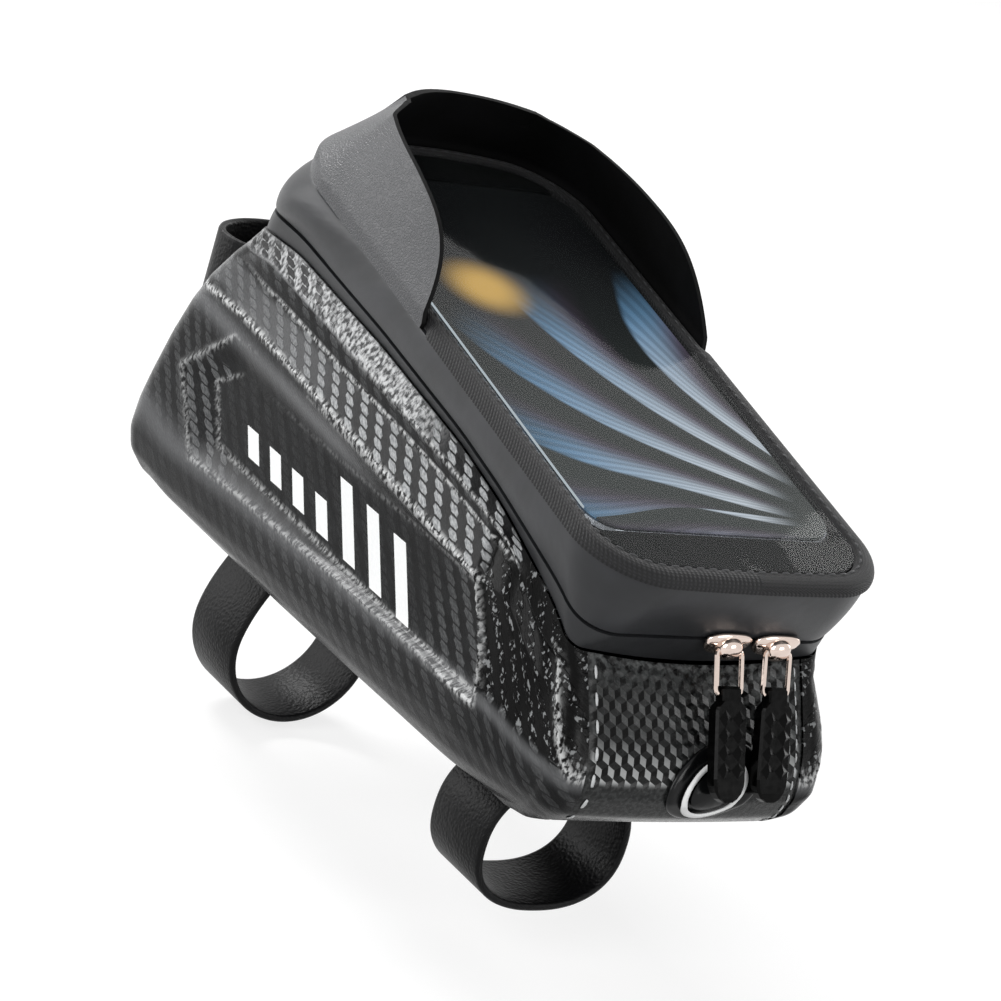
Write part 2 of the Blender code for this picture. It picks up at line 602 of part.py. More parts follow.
# The visor's free edge at distances along its foot from a tip: height over the lid and lean inwards in degrees
VISOR_START = 106.5
VISOR_STATIONS = (0.0, 25.0, 50.0, 69.5, 83.5, 97.5, 109.5, 127.8)
VISOR_HEIGHTS = (26.2, 26.6, 27.0, 26.3, 26.2, 25.9, 24.5, 22.0)
VISOR_LEANS = (19.7, 15.6, 21.0, 34.8, 39.1, 38.8, 26.3, 11.5)
# The soft sheet sags on its right flank and sways a little to the left
VISOR_SAGS = (0.6, 1.6, 2.2, 1.4, 0.4, 0.0, 0.0, 0.0)
VISOR_SWAY = 1.0
VISOR_RISE = 9.9
VISOR_YS = (106.5, 107.6, 109.2, 111.5, 114.5, 118.0, 122.5, 128.0, 135.0, 143.0, 152.0, 162.0, 170.0)
VISOR_ROWS = (0.0, 0.18, 0.38, 0.58, 0.79, 1.0)


def visor_face(inset):
    """Grid of points of one face of the visor, from its foot on the lid's outline to its free edge."""
    half = LID_HALF - inset
    flank = np.array([(-half, along(y)) for y in VISOR_YS])
    tail = lid_half(inset, 0.0)[SIDE_FIRST + SIDE_COLUMNS:, :2]
    left = np.concatenate([flank, tail])
    path = np.concatenate([left, (left * np.array([-1.0, 1.0]))[-2::-1]])
    d = unit(np.gradient(path, axis=0))
    side = np.stack([d[:, 1], -d[:, 0]], -1)
    run = np.r_[0.0, np.cumsum(np.linalg.norm(np.diff(left, axis=0), axis=1))]
    run = np.r_[run, run[-2::-1]]
    height = np.interp(run, along(VISOR_STATIONS), upward(VISOR_HEIGHTS))
    height -= np.where(path[:, 0] > 0, np.interp(run, along(VISOR_STATIONS), upward(VISOR_SAGS)), 0.0)
    height *= 1 - np.exp(-(path[:, 1] - along(VISOR_START) + 0.6 * MM) / along(VISOR_RISE))
    lean = np.tan(np.radians(np.interp(run, along(VISOR_STATIONS), VISOR_LEANS)))
    rows = []
    base = 0.2 * MM
    for t in VISOR_ROWS:
        z = base + (height - base) * t
        drawn = np.maximum(z - BINDING_HEIGHT - 1.1 * MM, 0.0) * lean
        drawn = np.minimum(drawn, LID_FAR_RADIUS - VISOR_WALL - 3.6 * MM)
        sway = np.c_[-across(VISOR_SWAY) * np.maximum(z / upward(VISOR_HEIGHTS[0]), 0.0) ** 2, np.zeros(len(z))]
        rows.append(np.c_[path + side * drawn[:, None] + sway, z])
    return np.stack(rows, 1)


def build_visor():
    sheet_body("visor", lid_to_bag(visor_face(0.0)), lid_to_bag(visor_face(VISOR_WALL)), GRAIN)


def loop_path(top, widest, bottom, half, square, upper, flat, count=10):
    """A hanging loop in the XZ plane: a flat top, sides that widen downwards and a rounded lower half."""
    share = np.linspace(0.0, 1.0, count)
    upper_x = half - (half - flat) * share ** upper
    upper_z = widest + (top - widest) * share
    turn = np.linspace(0.0, math.pi / 2, count)[1:]
    lower_x = half * np.cos(turn) ** square
    lower_z = widest - np.sin(turn) ** square * (widest - bottom)
    side = np.c_[np.r_[0.0, upper_x[::-1], lower_x], np.r_[top, upper_z[::-1], lower_z]]
    return np.concatenate([side, (side * np.array([-1.0, 1.0]))[-2:0:-1]])


def strap_loop(name, path, start, width, wall, mat, axis):
    """A closed strap of one width round a path, its face square to the path."""
    d = unit(np.roll(path, -1, 0) - np.roll(path, 1, 0))
    out = np.stack([d[:, 1], -d[:, 0]], -1)
    if ((path - path.mean(0)) * out).sum() < 0:
        out = -out
    rings = []
    for push, shift in ((0.0, start), (0.0, start + width), (-wall, start + width), (-wall, start)):
        flat = path + out * push
        side = np.full(len(path), shift)
        if axis == "y":
            rings.append(np.stack([flat[:, 0], side, flat[:, 1]], -1))
        else:
            rings.append(np.stack([flat[:, 0], flat[:, 1], side], -1))
    return loft_body(name, np.stack(rings, 1), mat, closed=True)


def ribbon(name, line, wall, half, mat):
    """A strip of cloth: a line in the YZ plane, thickened on its lower or outer side, across x."""
    line = np.array(line)
    d = unit(np.gradient(line, axis=0))
    out = np.stack([d[:, 1], -d[:, 0]], -1)
    outer, inner = [], []
    for x in (-half, half):
        inner.append(np.c_[np.full(len(line), x), line])
        outer.append(np.c_[np.full(len(line), x), line + out * wall])
    return sheet_body(name, np.stack(outer), np.stack(inner), mat)


# Strap loops under the bag: near side of the strap (Y), depths of the widest line and of the lowest point, half width
TUBE_STRAPS = (("strap_near", "keeper_near", -68.0, 21.5, 40.2, 23.9, 0.85, 2.6),
               ("strap_far", "keeper_far", 68.0, 31.0, 54.0, 23.6, 1.0, 1.7))
HEAD_STRAP_BASE = 46.8
HEAD_STRAP_BACK = 120.5
HEAD_STRAP_FRONT = 150.5
HEAD_STRAP_HALF = 22.5


def build_straps():
    for name, keeper, start, widest, bottom, half, square, upper in TUBE_STRAPS:
        foot, top = PAD_RISE - GAP, PAD_RISE - 0.5 * MM
        path = loop_path(top, -widest * MM, -bottom * MM, across(half), square, upper, KEEPER_HALF + 1.2 * MM)
        low = along(start)
        strap_loop(name, path, low, STRAP_WIDTH, STRAP_WALL, PEBBLED, "y")
        a, b, deep = low - 1.2 * MM, low + STRAP_WIDTH + 1.2 * MM, top - STRAP_WALL - GAP
        ribbon(keeper, [(a - 9 * MM, foot), (a - 2 * MM, foot), (a, deep), (b, deep), (b + 2 * MM, foot),
                        (b + 9 * MM, foot)], KEEPER_WALL, KEEPER_HALF, PEBBLED)
    back, front = along(HEAD_STRAP_BACK), along(HEAD_STRAP_FRONT)
    half, depth = across(HEAD_STRAP_HALF), front - back
    pts = [(half * 0.62, back), (0.0, back), (-half * 0.62, back)]
    left = [(-half * 0.86, back + depth * 0.08), (-half * 0.98, back + depth * 0.26)]
    arc = [(-half * math.cos(t), back + depth * 0.42 + depth * 0.58 * math.sin(t)) for t in
           np.linspace(0, math.pi, 15)]
    right = [(-x, y) for x, y in left][::-1]
    path = np.array(pts + left + arc + right)
    base = upward(HEAD_STRAP_BASE)
    strap_loop("strap_head", path, base, STRAP_WIDTH, STRAP_WALL, PEBBLED, "z")


def far_surface(z):
    """Y of the outer face of the middle panel at the far end."""
    ends = sorted([(row[3][1], row[3][0]) for row in SHELL_ROWS])
    zs, ys = np.array(ends).T
    return np.interp(z, upward(zs), along(ys)) + 3.2 * MM


def build_head_keeper():
    low, high = upward(HEAD_STRAP_BASE) - 1.2 * MM, upward(HEAD_STRAP_BASE) + STRAP_WIDTH + 1.2 * MM
    face = along(HEAD_STRAP_BACK) + STRAP_WALL + GAP
    foot = [low - 11 * MM, low - 3.5 * MM]
    head = [high + 2.5 * MM, high + 9.0 * MM]
    line = [(far_surface(z) + GAP, z) for z in head[::-1]] + [(face, high), (face, low)]
    line += [(far_surface(z) + GAP, z) for z in foot[::-1]]
    ribbon("keeper_head", line[::-1], KEEPER_WALL, KEEPER_HALF, PEBBLED)


FACE_FOOT, FACE_HEAD = SHELL_ROWS[-1][2], (-97.6, 50.7)
PATCH_CENTRE = (5.5, 22.0)
RING_CENTRE = (4.6, 21.2)
PATCH_GAP = 0.45 * MM
PATCH_WALL = 1.0 * MM
RING_WIDTH = 1.6 * MM
PLUG_GAP = 0.38 * MM


def on_near_face(centre, radii, share, out, count=32, slant=0.35):
    """A ring of points on the rider's end: an egg leaning to the right, standing out by out."""
    pts = []
    for a in np.linspace(0, 2 * math.pi, count, endpoint=False):
        dx, dz = radii[0] * math.cos(a) * share, radii[1] * math.sin(a) * share
        x = (centre[0] + dx + slant * dz) * MM
        z = upward(centre[1] + dz)
        pts.append((x, near_surface(x, z) - out, z))
    return np.array(pts)


def build_port():
    back, front = PATCH_GAP, PATCH_GAP + PATCH_WALL
    radii = (14.0, 10.5)
    steps = ((0.12, back), (0.4, back), (0.7, back), (1.0, back), (1.0, front), (0.7, front), (0.4, front), (0.12, front))
    loft_body("cable_patch", np.stack([on_near_face(PATCH_CENTRE, radii, s, o) for s, o in steps]), RUBBER)
    base, top = front + PLUG_GAP, front + PLUG_GAP + 1.0 * MM
    size = (9.4, 8.4)
    thin = 1 - RING_WIDTH / (9.0 * MM)
    ring = [on_near_face(RING_CENTRE, size, s, o) for s, o in ((1.0, base), (1.0, top), (thin, top), (thin, base))]
    loft_body("cable_ring", np.stack(ring, 1), WHITE, closed=True)
    plug = ((0.1, base), (0.66, base), (0.66, base + 0.5 * MM), (0.45, base + 1.1 * MM), (0.1, base + 1.3 * MM))
    loft_body("cable_plug", np.stack([on_near_face(RING_CENTRE, size, s, o) for s, o in plug]), RUBBER)


def slider_frame(zip_line):
    """Origin on the zip at the rider's end, with the up-slope and outward directions of the cloth there."""
    origin = lid_to_bag(zip_line[0])
    lean = math.radians(28.6)
    return origin, np.array([0.0, -math.sin(lean), math.cos(lean)]), np.array([0.0, -math.cos(lean), -math.sin(lean)])


def placed(points, origin, axes):
    return origin + points[:, :1] * axes[0] + points[:, 1:2] * axes[1] + points[:, 2:3] * axes[2]


def prism(name, outline, low, high, chamfer, origin, axes, mat, col=None):
    """A plate with chamfered rims, outline in the first two axes, thickness along the third."""
    outline = np.array(outline)
    shrink = outline * (1 - chamfer / np.linalg.norm(outline, axis=1, keepdims=True))
    rings = []
    for pts, z in ((shrink, low), (outline, low + chamfer * 0.6), (outline, high - chamfer * 0.8), (shrink, high)):
        rings.append(placed(np.c_[pts, np.full(len(pts), z)], origin, axes))
    return loft_body(name, np.stack(rings), mat, col=col)


def rod(name, start, end, radius, mat, col=None, count=12):
    """A straight round bar."""
    d = unit(end - start)
    u = unit(np.cross(d, np.array([0.0, 0.3, 1.0])))
    v = np.cross(d, u)
    angles = np.linspace(0, 2 * math.pi, count, endpoint=False)
    circle = radius * (np.cos(angles)[:, None] * u + np.sin(angles)[:, None] * v)
    return loft_body(name, np.stack([start + circle, end + circle]), mat, col=col)


def combine(target, tool, kind):
    """An exact Boolean, applied to the target's mesh."""
    tool.hide_render = True
    tool.display_type = "WIRE"
    mod = target.modifiers.new(kind.lower(), "BOOLEAN")
    mod.operation = kind
    mod.solver = "EXACT"
    mod.object = tool
    return target


def build_slider(number, x, zip_line, lean):
    origin, up, out = slider_frame(zip_line)
    origin = origin + np.array([x, 0.0, 0.0])
    right = np.array([1.0, 0.0, 0.0])
    axes = (right, up, out)
    a, b = SLIDER_HALF_LENGTH, SLIDER_HALF_HEIGHT
    base, face = 0.35 * MM, 0.35 * MM + SLIDER_PLATE
    hexagon = [(-a, -b * 0.45), (-a * 0.55, -b), (a * 0.55, -b), (a, -b * 0.45), (a, b * 0.45), (a * 0.5, b),
               (-a * 0.5, b), (-a, b * 0.45)]
    body = prism("slider_%d" % number, hexagon, base, face, 0.5 * MM, origin, axes, PLATED)
    hole = WIRE / 2 + GAP
    centre = face + 0.15 * MM + hole
    pivot = origin + out * centre
    top = centre + hole + 1.1 * MM
    w = CROWN_WIDTH / 2
    crown_lines = [(-b * 0.85, face - 0.6 * MM), (-b * 0.8, face + 0.9 * MM), (-b * 0.45, top - 0.3 * MM), (0.0, top),
                   (b * 0.45, top - 0.3 * MM), (b * 0.8, face + 0.9 * MM), (b * 0.85, face - 0.6 * MM)]
    rings = []
    for side, shrink in ((-w, 0.9), (-w * 0.7, 1.0), (w * 0.7, 1.0), (w, 0.9)):
        pts = np.array([(side, p * shrink, face + (q - face) * (shrink if q > face else 1.0)) for p, q in crown_lines])
        rings.append(placed(pts, origin, axes))
    crown = loft_body("cut_crown_%d" % number, np.stack(rings), PLATED, col=CUTTERS)
    combine(body, crown, "UNION")
    bore = rod("cut_bore_%d" % number, pivot - right * 6 * MM, pivot + right * 6 * MM, hole, PLATED, CUTTERS)
    combine(body, bore, "DIFFERENCE")
    down = np.array([0.0, -math.sin(lean), -math.cos(lean)])
    front = np.array([0.0, -math.cos(lean), math.sin(lean)])
    build_bail(number, pivot, right, down)
    build_puller(number, pivot, right, down, front)
    return pivot


def build_bail(number, pivot, right, down):
    """A closed wire loop: its top bar turns in the slider's crown, its bottom bar carries the puller."""
    r, h, length = 1.3 * MM, BAIL_HALF_WIDTH, BAIL_LENGTH
    corners = ((h - r, r, -90), (h - r, length - r, 0), (r - h, length - r, 90), (r - h, r, 180))
    path = []
    for cx, cy, start in corners:
        for a in np.radians(start + np.array([0.0, 30.0, 60.0, 90.0])):
            path.append((cx + r * math.cos(a), cy + r * math.sin(a)))
    path = np.array(path)
    d = unit(np.roll(path, -1, 0) - np.roll(path, 1, 0))
    side = np.stack([d[:, 1], -d[:, 0]], -1)
    face = np.cross(right, down)
    sections = []
    for t in np.linspace(0, 2 * math.pi, 8, endpoint=False):
        flat = path + side * (WIRE / 2) * math.cos(t)
        sections.append(pivot + flat[:, :1] * right + flat[:, 1:] * down + face * (WIRE / 2) * math.sin(t))
    loft_body("bail_%d" % number, np.stack(sections, 1), PLATED, closed=True)


def build_puller(number, pivot, right, down, front):
    """A rubber tab with pyramid studs on its face, a bored neck above and a round end below."""
    start = BAIL_LENGTH - 2.0 * MM
    end = start + PULLER_LENGTH
    neck = BAIL_HALF_WIDTH - WIRE / 2 - GAP
    half, back, face = PULLER_HALF_WIDTH, PULLER_BODY / 2, PULLER_BODY / 2
    pitch = 2.15 * MM
    rows = [(start, neck * 0.8, 0.72, 0), (start + 0.8 * MM, neck, 0.95, 0), (start + 3.7 * MM, neck, 1.0, 0),
            (start + 5.2 * MM, half * 0.93, 1.0, 0), (start + 6.0 * MM, half, 1.0, 0)]
    for k in range(1, 9):
        rows.append((start + 6.0 * MM + k * pitch, half, 1.0, k % 2))
    tail = end - rows[-1][0]
    for t in (0.3, 0.6, 0.85, 1.0):
        rows.append((rows[12][0] + tail * t, half * math.sqrt(max(1 - (t * 0.96) ** 2.2, 0.02)), 1.0 - 0.3 * t * t, 0))
    rings = []
    for s, w, thick, stud in rows:
        tip = STUD_HEIGHT * stud
        pts = [(-w, -back * thick * 0.6), (-w * 0.8, -back * thick), (w * 0.8, -back * thick), (w, -back * thick * 0.6),
               (w, face * thick * 0.7), (w * 0.88, face * thick), (w * 0.46, face * thick + tip), (0.0, face * thick),
               (-w * 0.46, face * thick + tip), (-w * 0.88, face * thick), (-w, face * thick * 0.7)]
        rings.append(np.array([pivot + right * p + front * q + down * s for p, q in pts]))
    body = loft_body("puller_%d" % number, np.stack(rings), RUBBER)
    eye = pivot + down * (BAIL_LENGTH)
    bore = rod("cut_eye_%d" % number, eye - right * 7 * MM, eye + right * 7 * MM, WIRE / 2 + GAP, RUBBER, CUTTERS)
    combine(body, bore, "DIFFERENCE")


SEAM_PATH = build_shells()
build_panel(SEAM_PATH)
ZIP_LINE = build_bands()
build_lid()
build_visor()
build_straps()
build_head_keeper()
build_port()
HINGE = lid_to_bag(np.array([0.0, ZIP_LINE[:, 1].max() + 0.6 * MM, ZIP_LINE[np.argmax(ZIP_LINE[:, 1]), 2]]))
FACE_LEAN = math.atan2(along(FACE_HEAD[0] - FACE_FOOT[0]), upward(FACE_HEAD[1] - FACE_FOOT[1]))
PIVOTS = [build_slider(k + 1, x, ZIP_LINE, FACE_LEAN + PULLER_LIFTS[k]) for k, x in enumerate(SLIDER_X)]

LID_PIECES = ("gusset_upper", "zip_coil_upper", "lid_binding", "lid_window", "margin_near", "margin_far", "phone",
              "phone_display", "phone_tray", "visor")
for piece in LID_PIECES:
    on_axis(bpy.data.objects[piece], HINGE)
for k, pivot in enumerate(PIVOTS):
    for piece in ("bail_%d", "puller_%d"):
        on_axis(bpy.data.objects[piece % (k + 1)], pivot)
print("lid hinge at", [round(float(v), 5) for v in HINGE])
print("puller axes at", [[round(float(v), 5) for v in p] for p in PIVOTS])
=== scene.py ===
"""Top tube phone bag, dressed: skins, bands, film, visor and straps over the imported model.

Metres, in the model's frame: +Z up, +Y towards the handlebar, -X the rider's left.
The lid has its own frame: y runs from its near edge towards the handlebar, z is square to the lid.
"""
import math

import bmesh
import bpy
import numpy as np
from mathutils import Matrix


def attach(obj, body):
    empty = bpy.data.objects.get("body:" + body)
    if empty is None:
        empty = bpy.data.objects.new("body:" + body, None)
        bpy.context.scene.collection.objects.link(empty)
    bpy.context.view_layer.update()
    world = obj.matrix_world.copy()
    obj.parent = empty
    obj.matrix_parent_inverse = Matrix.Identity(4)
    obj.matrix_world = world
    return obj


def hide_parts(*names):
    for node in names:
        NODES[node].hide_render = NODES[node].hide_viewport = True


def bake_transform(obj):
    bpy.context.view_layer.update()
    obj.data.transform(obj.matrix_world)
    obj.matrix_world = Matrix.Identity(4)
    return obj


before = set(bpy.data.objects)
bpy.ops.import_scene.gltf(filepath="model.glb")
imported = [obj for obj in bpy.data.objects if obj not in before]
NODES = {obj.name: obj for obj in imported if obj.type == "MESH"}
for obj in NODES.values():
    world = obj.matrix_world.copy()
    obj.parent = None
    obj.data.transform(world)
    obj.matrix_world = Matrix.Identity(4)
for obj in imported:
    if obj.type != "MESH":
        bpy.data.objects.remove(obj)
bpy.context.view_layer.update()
MM = 0.001

# The camera of the photograph, found from the lid's outline
EYE = (-0.6196, -0.8173, 0.3869)
LOOK_RIGHT = (0.8171, -0.5059, 0.2765)
LOOK_UP = (-0.0506, 0.4147, 0.9085)
LOOK_AHEAD = (0.5743, 0.7563, -0.3133)
LENS_MM = 143.95

# The lid and what the model gives it
LID_HALF = 46.5 * MM
LID_LENGTH = 192.3 * MM
LID_TILT = math.radians(12.5)
LID_NEAR_Y = -112.0 * MM
NEAR_HEIGHT = 75.0 * MM
NEAR_RADIUS, FAR_RADIUS = 20.0 * MM, 22.0 * MM
NEAR_BOW, FAR_BOW = 1.9 * MM, 8.0 * MM
BINDING_WIDTH, BINDING_HEIGHT = 6.2 * MM, 3.4 * MM
GAP = 0.3 * MM
SHELL_WALL, PANEL_WALL, BAND_WALL = 3.4 * MM, 2.6 * MM, 1.6 * MM
ZIP_GAP = 1.0 * MM
SEAM_NEAR, SEAM_FAR = 34.0 * MM, 29.5 * MM
PANEL_BULGE = 1.5 * MM
RIM_DIP = 3.6 * MM
PAD_RISE = 0.6 * MM
BAND_SWELL = 2.6 * MM
WINDOW_BASE = BINDING_HEIGHT - 0.9 * MM
PHONE_NEAR, PHONE_LENGTH, PHONE_HALF = 19.5 * MM, 161.5 * MM, 39.5 * MM


FLOOR_Z = -56.5 * MM
SIDES = (("left", np.ones(3)), ("right", np.array([-1.0, 1.0, 1.0])))


def camera():
    """Sets the photograph's camera, from its axes and its eye."""
    data = bpy.data.cameras.new("photo_camera")
    data.lens, data.sensor_width, data.sensor_fit = LENS_MM, 36.0, "HORIZONTAL"
    data.clip_start, data.clip_end = 0.05, 20.0
    cam = bpy.data.objects.new("photo_camera", data)
    bpy.context.scene.collection.objects.link(cam)
    rows = [(r, u, -a, e) for r, u, a, e in zip(LOOK_RIGHT, LOOK_UP, LOOK_AHEAD, EYE)]
    cam.matrix_world = Matrix(rows + [(0.0, 0.0, 0.0, 1.0)])
    bpy.context.scene.camera = cam


camera()


def linear(code):
    """A '#rrggbb' colour as linear RGBA."""
    out = []
    for k in (1, 3, 5):
        v = int(code[k:k + 2], 16) / 255.0
        out.append(v / 12.92 if v <= 0.04045 else ((v + 0.055) / 1.055) ** 2.4)
    return (*out, 1.0)


def unit(v):
    """Vectors along the last axis at length 1."""
    return v / np.maximum(np.linalg.norm(v, axis=-1, keepdims=True), 1e-12)


def smooth(t):
    """A smooth step from 0 to 1: 3t^2 - 2t^3."""
    t = np.clip(t, 0.0, 1.0)
    return t * t * (3 - 2 * t)


def bell(distance, width):
    """The bell curve exp(-(d / w)^2)."""
    return np.exp(-(distance / width) ** 2)


def to_bag(points):
    """Points of the lid's frame in the model's frame."""
    c, s = math.cos(LID_TILT), math.sin(LID_TILT)
    x, y, z = points[..., 0], points[..., 1], points[..., 2]
    return np.stack([x, LID_NEAR_Y + y * c - z * s, NEAR_HEIGHT + y * s + z * c], -1)


def runs(points, axis=0):
    """Distance along a grid of points in one direction, in millimetres."""
    step = np.linalg.norm(np.diff(points, axis=axis), axis=-1)
    shape = list(step.shape)
    shape[axis] = 1
    return np.concatenate([np.zeros(shape), np.cumsum(step, axis=axis)], axis=axis) / MM


# Mesh building

def piece(name, body, points, faces, marks=None, parts=None, finish=(), sharp=38.0, values=None,
          stands_for=()):
    """A finished object: outward faces, texture coordinates in millimetres and extra values at its points."""
    mesh = bpy.data.meshes.new(name)
    mesh.from_pydata(points.tolist(), [], faces if isinstance(faces, list) else faces.tolist())
    if marks is not None:
        layer = mesh.uv_layers.new(name="surface_mm")
        layer.data.foreach_set("uv", np.asarray(marks, dtype=np.float32).ravel())
    if parts is not None:
        mesh.polygons.foreach_set("material_index", np.asarray(parts, dtype=np.int32))
    for key, data in (values or {}).items():
        layer = mesh.attributes.new(key, "FLOAT", "POINT")
        layer.data.foreach_set("value", np.asarray(data, dtype=np.float32).ravel())
    bm = bmesh.new()
    bm.from_mesh(mesh)
    bmesh.ops.recalc_face_normals(bm, faces=bm.faces[:])
    bm.to_mesh(mesh)
    bm.free()
    for mat in finish:
        mesh.materials.append(mat)
    mesh.polygons.foreach_set("use_smooth", [True] * len(mesh.polygons))
    mesh.set_sharp_from_angle(angle=math.radians(sharp))
    obj = bpy.data.objects.new(name, mesh)
    bpy.context.scene.collection.objects.link(obj)
    if body:
        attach(obj, body)
    if stands_for:
        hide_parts(*stands_for)
    return obj


def sheet_faces(n, m, closed, u, v):
    """Faces of a thick sheet of two n by m grids, their corners' texture marks, and which are inner."""
    i, j = np.meshgrid(np.arange(n if closed else n - 1), np.arange(m - 1), indexing="ij")
    k = (i + 1) % n
    corner = [i * m + j, k * m + j, k * m + j + 1, i * m + j + 1]
    spots = [(i, j), (i + 1, j), (i + 1, j + 1), (i, j + 1)]
    front = np.stack(corner, -1).reshape(-1, 4)
    marks = np.stack([np.stack([u[a, b], v[a, b]], -1) for a, b in spots], -2).reshape(-1, 4, 2)
    faces, uvs, parts = [front, front[:, ::-1] + n * m], [marks, marks[:, ::-1]], [0, 1]
    i = np.arange(n if closed else n - 1)
    for j in (0, m - 1):
        a, b = i * m + j, ((i + 1) % n) * m + j
        faces.append(np.stack([a, b, b + n * m, a + n * m], -1))
        edge = np.stack([u[i, j], v[i, j]], -1)
        edge2 = np.stack([u[i + 1, j], v[i + 1, j]], -1)
        uvs.append(np.stack([edge, edge2, edge2, edge], 1))
        parts.append(2)
    if not closed:
        j = np.arange(m - 1)
        for i in (0, n - 1):
            a = i * m + j
            faces.append(np.stack([a, a + 1, a + 1 + n * m, a + n * m], -1))
            edge, edge2 = np.stack([u[i, j], v[i, j]], -1), np.stack([u[i, j + 1], v[i, j + 1]], -1)
            uvs.append(np.stack([edge, edge2, edge2, edge], 1))
            parts.append(2)
    kinds = np.concatenate([np.full(len(f), p) for f, p in zip(faces, parts)])
    return np.concatenate(faces), np.concatenate(uvs), kinds


def thick(name, body, outer, inner, finish, closed=False, marks=None, values=None, kinds=(0, 1, 0), **more):
    """A thick sheet: outer face, inner face and rims can each have a material; values hold for both faces."""
    n, m = outer.shape[:2]
    if marks is None:
        u = runs(np.concatenate([outer, outer[:1]]) if closed else outer)
        u = np.repeat(u[:, m // 2:m // 2 + 1], m, 1)
        v = runs(outer, 1)
        v = np.concatenate([v, v[:1]]) if closed else v
        marks = (u, v)
    faces, uvs, parts = sheet_faces(n, m, closed, *marks)
    points = np.concatenate([outer.reshape(-1, 3), inner.reshape(-1, 3)])
    both = {key: np.concatenate([np.ravel(data), np.ravel(data)]) for key, data in (values or {}).items()}
    parts = np.minimum(np.array(kinds)[parts], len(finish) - 1)
    return piece(name, body, points, faces, uvs, parts, finish, values=both, **more)


def loft(name, body, rings, finish, closed=False, **more):
    """A body through closed cross-sections, its ends filled unless the path closes."""
    n, m = rings.shape[:2]
    loop = np.concatenate([rings, rings[:, :1]], 1)
    u = runs(np.concatenate([loop, loop[:1]]) if closed else loop)
    v = runs(loop, 1)
    v = np.concatenate([v, v[:1]]) if closed else v
    i, j = np.meshgrid(np.arange(n if closed else n - 1), np.arange(m), indexing="ij")
    k, l = (i + 1) % n, (j + 1) % m
    faces = np.stack([i * m + j, k * m + j, k * m + l, i * m + l], -1).reshape(-1, 4).tolist()
    spots = [(i, j), (i + 1, j), (i + 1, j + 1), (i, j + 1)]
    marks = np.stack([np.stack([u[a, b], v[a, b]], -1) for a, b in spots], -2).reshape(-1, 2)
    if not closed:
        for end in (0, n - 1):
            faces.append([end * m + t for t in range(m)])
            marks = np.concatenate([marks, np.stack([u[end, :m], v[end, :m]], -1)])
    return piece(name, body, rings.reshape(-1, 3), faces, marks, None, finish, **more)


# Outlines shared by the shells, the bands and the lid

NEAR_COLUMNS, CORNER_COLUMNS, SIDE_COLUMNS, FAR_COLUMNS = 12, 16, 200, 10
SHELL_FIRST = NEAR_COLUMNS
SHELL_COUNT = 1 + CORNER_COLUMNS + SIDE_COLUMNS + CORNER_COLUMNS + 1


def width_at(y, low, high, halves):
    """Half width along the side: a quarter sine to the side's, then a line to the far one."""
    near, side, far = halves
    x = near + (side - near) * np.sin(np.clip((y - low) / (34.0 * MM), 0, 1) * math.pi / 2)
    return x + (far - side) * np.clip((y - low) / (high - low) - 0.6, 0, 1) / 0.4


def half_outline(halves, ends, radii, bows=(0.0, 0.0)):
    """Plan points from the middle of the rider's end, round the left side, to the middle of the far end."""
    low, high = ends[0] + radii[0], ends[1] - radii[1]
    reach = min(SEAM_NEAR, halves[0] - radii[0])
    near = np.c_[np.linspace(0, reach, NEAR_COLUMNS + 1), np.full(NEAR_COLUMNS + 1, ends[0])]
    turn = np.linspace(0.04, math.pi / 2, CORNER_COLUMNS)
    corner = np.c_[halves[0] - radii[0] + radii[0] * np.sin(turn), low - radii[0] * np.cos(turn)]
    ys = np.linspace(low, high, SIDE_COLUMNS + 2)[1:-1]
    side = np.c_[width_at(ys, low, high, halves), ys]
    turn = np.linspace(math.pi / 2, 0.04, CORNER_COLUMNS)
    far_corner = np.c_[halves[2] - radii[1] + radii[1] * np.sin(turn), high + radii[1] * np.cos(turn)]
    reach = min(SEAM_FAR, halves[2] - radii[1])
    far = np.c_[np.linspace(reach, 0, FAR_COLUMNS), np.full(FAR_COLUMNS, ends[1])]
    pts = np.concatenate([near, corner, side, far_corner, far])
    first = NEAR_COLUMNS + 1 + CORNER_COLUMNS
    pts[:first, 1] -= bows[0] * (1 - (pts[:first, 0] / halves[0]) ** 2)
    last = first + SIDE_COLUMNS
    pts[last:, 1] += bows[1] * (1 - (pts[last:, 0] / halves[2]) ** 2)
    pts[:, 0] *= -1
    return pts


def whole(half):
    """The closed ring made of a left half and its mirror image."""
    return np.concatenate([half, (half * np.array([-1.0, 1.0, 1.0]))[-2:0:-1]])


def lid_half(inset, z=0.0):
    """The left half of the lid's outline, moved inwards by an inset, at a height in its frame."""
    half = LID_HALF - inset
    plan = half_outline((half, half, half), (inset, LID_LENGTH - inset),
                        (NEAR_RADIUS - inset, FAR_RADIUS - inset), (NEAR_BOW, FAR_BOW))
    return np.c_[plan, np.full(len(plan), z)]


# The shell's top edge: distances along the lid and how far below it the edge lies, in millimetres
RIM_STATIONS = (8.0, 17.6, 28.4, 41.0, 53.0, 77.0, 101.0, 124.0, 148.0, 173.0, 195.0, 202.0)
RIM_DEPTHS = (27.0, 22.3, 19.6, 17.3, 15.8, 15.0, 16.2, 17.3, 19.6, 21.8, 27.0, 31.0)
ZIP_SHARE = 0.73


def eased(x, stations, heights, width):
    """A line through stations with its corners eased over a width."""
    shifts = np.linspace(-width, width, 9)
    return np.mean([np.interp(x + s, stations, heights) for s in shifts], axis=0)


